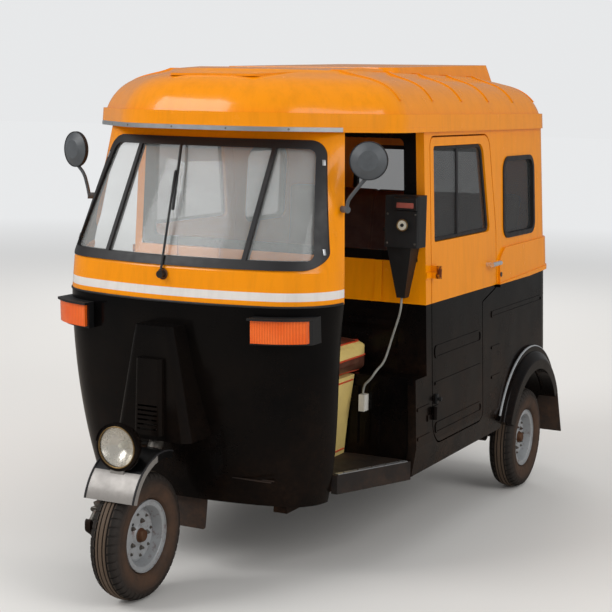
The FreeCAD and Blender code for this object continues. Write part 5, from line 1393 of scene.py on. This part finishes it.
def makeGrips():
    profile = [(-0.004, 0.0), (-0.004, 0.0176), (0.0, 0.0200), (0.003, 0.0200), (0.005, 0.0180)]
    for rib in range(gripSizes["ribs"]):
        start = gripSizes["firstRib"] + rib * gripSizes["ribStep"]
        profile += [(start + along, gripSizes[level]) for along, level in ribShape]
    profile += [(0.096, 0.0180), (0.0975, 0.0205), (0.1015, 0.0205), (0.1030, 0.0178), (0.1030, 0.0)]
    grips = []
    for side in (1, -1):
        outer, inner = [place(side * x, y, z) for x, y, z in (gripSizes["outer"], gripSizes["inner"])]
        grips.append(moved(turnedMesh("grip", profile, 28, closed=False), outer, inner - outer))
    dress("grips", grips, "sealRubber", "steering", "rubber")
    bezel = turnedMesh("bezel", dialBezel, 40, closed=False)
    dress("pod_dial", moved(bezel, place(*gripSizes["dial"]), (0, 0, 1)), "chrome", "steering", "chrome")


makeGrips()
print("mirrors, meter and handlebar dressed")


# Front mudguard: black beads along both edges; beside it the brake cable
guardArc = {"points": ((-0.158, 0.352), (-0.068, 0.464), (0.070, 0.476)), "edge": 0.0885, "steps": 28,
            "bead": (0.007, 0.0035)}
brakeCable = {"radius": 0.0032, "route": (
    (-0.040, 0.128, 0.478), (-0.080, 0.140, 0.470), (-0.136, 0.136, 0.440), (-0.152, 0.120, 0.380),
    (-0.152, 0.080, 0.300), (-0.150, 0.040, 0.250), (-0.142, 0.020, 0.228))}


def makeFrontGuardTrim():
    where, outward = circlePoints(*guardArc["points"], guardArc["steps"])
    ways = [Vector((0, y, z)) for y, z in outward]
    beads = []
    for side in (1, -1):
        places = [place(side * guardArc["edge"], y, z) for y, z in where]
        beads.append(sweptMesh("bead", places, ways, beadSection(*guardArc["bead"])))
    dress("front_guard_beads", beads, "sealRubber", "steering", "rubber", sharp=50.0)
    cable = wireMesh("brake_cable", [place(*spot) for spot in brakeCable["route"]], brakeCable["radius"])
    dress("brake_cable", cable, "sealRubber", "steering", "rubber")


makeFrontGuardTrim()


# Rear mudguards: a bead round the outer edge, its grey a painted highlight along the crest, over an arc in
# degrees from straight back
rearBead = {"x": 0.626, "from": 30, "turn": 126, "steps": 44, "section": (0.009, 0.004)}


def makeRearGuardBeads():
    beads = []
    for side in (1, -1):
        centre = Vector((side * rearBead["x"], leftAxle.y, leftAxle.z))
        places, ways = [], []
        for step in range(rearBead["steps"] + 1):
            angle = math.radians(rearBead["from"] + rearBead["turn"] * step / rearBead["steps"])
            away = Vector((0, math.cos(angle), math.sin(angle)))
            pair = hit("rear_mudguards", centre + away * 0.8, -away)
            if pair:
                places.append(pair[0])
                ways.append(away)
        beads.append(sweptMesh("bead", places, ways, beadSection(*rearBead["section"])))
    dress("rear_guard_beads", beads, "beadHighlightGrey", "body", "rubber", sharp=50.0)


makeRearGuardBeads()


# Floor: ribs of the two mats as (half width, first rib's y, count), and edge strips at the doorways
matRows = [(0.330, 0.285, 15), (0.545, 0.955, 27)]
floorSizes = {"rib": (0.006, 0.004), "ribZ": 0.3565, "ribStep": 0.020, "strip": (0.020, 0.0022),
              "stripPoints": 9, "stripFrom": (0.462, 0.500, 0.3553), "stripTo": (0.588, 0.790, 0.3553),
              "screws": 5}


def makeFloorTrim():
    rows = []
    for half, startY, count in matRows:
        rib = blockMesh("rib", (half * 2, *floorSizes["rib"]), 0.0012)
        rows.append(repeated("ribs", "row", rib, {
            "Count": count, "Start": place(0, startY, floorSizes["ribZ"]),
            "Step": (0.0, floorSizes["ribStep"], 0.0)}, "matRubber"))
    dress("mat_ribs", rows, "matRubber", "body", "mat_rubber")
    strips, spots = [], []
    up, left, rise = Vector((0, 0, 1)), Vector((1, 0, 0)), Vector((0, 0, floorSizes["strip"][1]))
    last, screws = floorSizes["stripPoints"] - 1, floorSizes["screws"]
    for side in (1, -1):
        start, end = [place(side * x, y, z) for x, y, z in (floorSizes["stripFrom"], floorSizes["stripTo"])]
        steps = [start.lerp(end, step / last) for step in range(last + 1)]
        strips.append(sweptMesh("strip", steps, [up] * len(steps), flatStrip(*floorSizes["strip"])))
        spots += [(start.lerp(end, (step + 0.5) / screws) + rise, up, left) for step in range(screws)]
    dress("sill_strips", strips, "silverTrim", "body", "silver_paint")
    dress("sill_screws", onSpots("sill_screws", screwMesh(), spots, "steel", 0.8), None, "body", "steel")


makeFloorTrim()


# Rear: lamp bezels, hatch handle with its lock; locks and latches on the sides
bezelSizes = {"low": (0.385, 0.650), "high": (0.440, 0.790), "bend": 0.008, "y": 2.3305, "middleZ": 0.72}
bezelSection = [(-0.001, -0.001), (-0.001, 0.005), (0.012, 0.005), (0.018, 0.0015), (0.018, -0.001)]
sideSpots = {"hatchHandle": (0, 3.0, 0.476), "lock": (1.0, 1.648, 0.925), "latch": (1.0, 0.984, 0.545)}
bossProfile = [(-0.002, 0.0), (-0.002, 0.017), (0.004, 0.016), (0.006, 0.012), (0.0065, 0.0)]
lockProfile = [(-0.001, 0.0), (-0.001, 0.0095), (0.0028, 0.0090), (0.0034, 0.0062), (0.0024, 0.0054),
               (0.0024, 0.0)]
latchKnob = [(0.0, 0.0), (0.0, 0.006), (0.010, 0.006), (0.012, 0.009), (0.019, 0.008), (0.020, 0.0)]


def makeLampBezels():
    (lowX, lowZ), (highX, highZ) = bezelSizes["low"], bezelSizes["high"]
    bezels = []
    for side in (1, -1):
        corners = [(side * x, z, bezelSizes["bend"]) for x, z in (
            (lowX, lowZ), (highX, lowZ), (highX, highZ), (lowX, highZ))]
        places = [place(x, bezelSizes["y"], z) for x, z in roundedLoop(corners, steps=4, spacing=0.03)]
        centre = place(side * (lowX + highX) / 2, bezelSizes["y"], bezelSizes["middleZ"])
        ways = [(where - centre).normalized() for where in places]
        section = [(side * across, up) for across, up in bezelSection]
        bezels.append(sweptMesh("bezel", places, ways, section, closed=True))
    dress("lamp_bezels", bezels, "blackPlastic", "body", "black_plastic")


def makeHatchHandle():
    where, facing = hit("engine_hatch", place(*sideSpots["hatchHandle"]), (0, -1, 0))
    boss = moved(turnedMesh("boss", bossProfile, 32, closed=False), where, (0, 1, 0))
    lever = blockMesh("lever", (0.062, 0.010, 0.013), 0.003)
    lever.transform(Matrix.Translation(where + Vector((0, 0.010, 0))))
    dress("hatch_handle", [boss, lever], "chrome", "engine_hatch", "chrome")


def makeLocks():
    for name, side in (("left", 1), ("right", -1)):
        inward = (-side, 0, 0)
        x, y, z = sideSpots["lock"]
        where, facing = hit("body_side_" + name, place(side * x, y, z), inward)
        lock = turnedMesh("lock", lockProfile, 28, closed=False)
        dress("side_lock_" + name, moved(lock, where, facing), "steel", "body", "steel")
        x, y, z = sideSpots["latch"]
        where, facing = hit("door_" + name, place(side * x, y, z), inward)
        plate = blockMesh("plate", (0.010, 0.022, 0.034), 0.002)
        latch = joinedMesh("latch", [plate, turnedMesh("knob", latchKnob, 18, closed=False)])
        moved(latch, where + facing * 0.003, facing)
        dress("door_latch_" + name, latch, "blackPlastic", "door_" + name, "black_plastic")


makeLampBezels()
makeHatchHandle()
makeLocks()
print("rear, floor and side trim made")


bpy.context.scene.view_settings.view_transform = "Standard"
makeCamera()
makeFloor()
makeSky()
makeLamps()
makeLead()
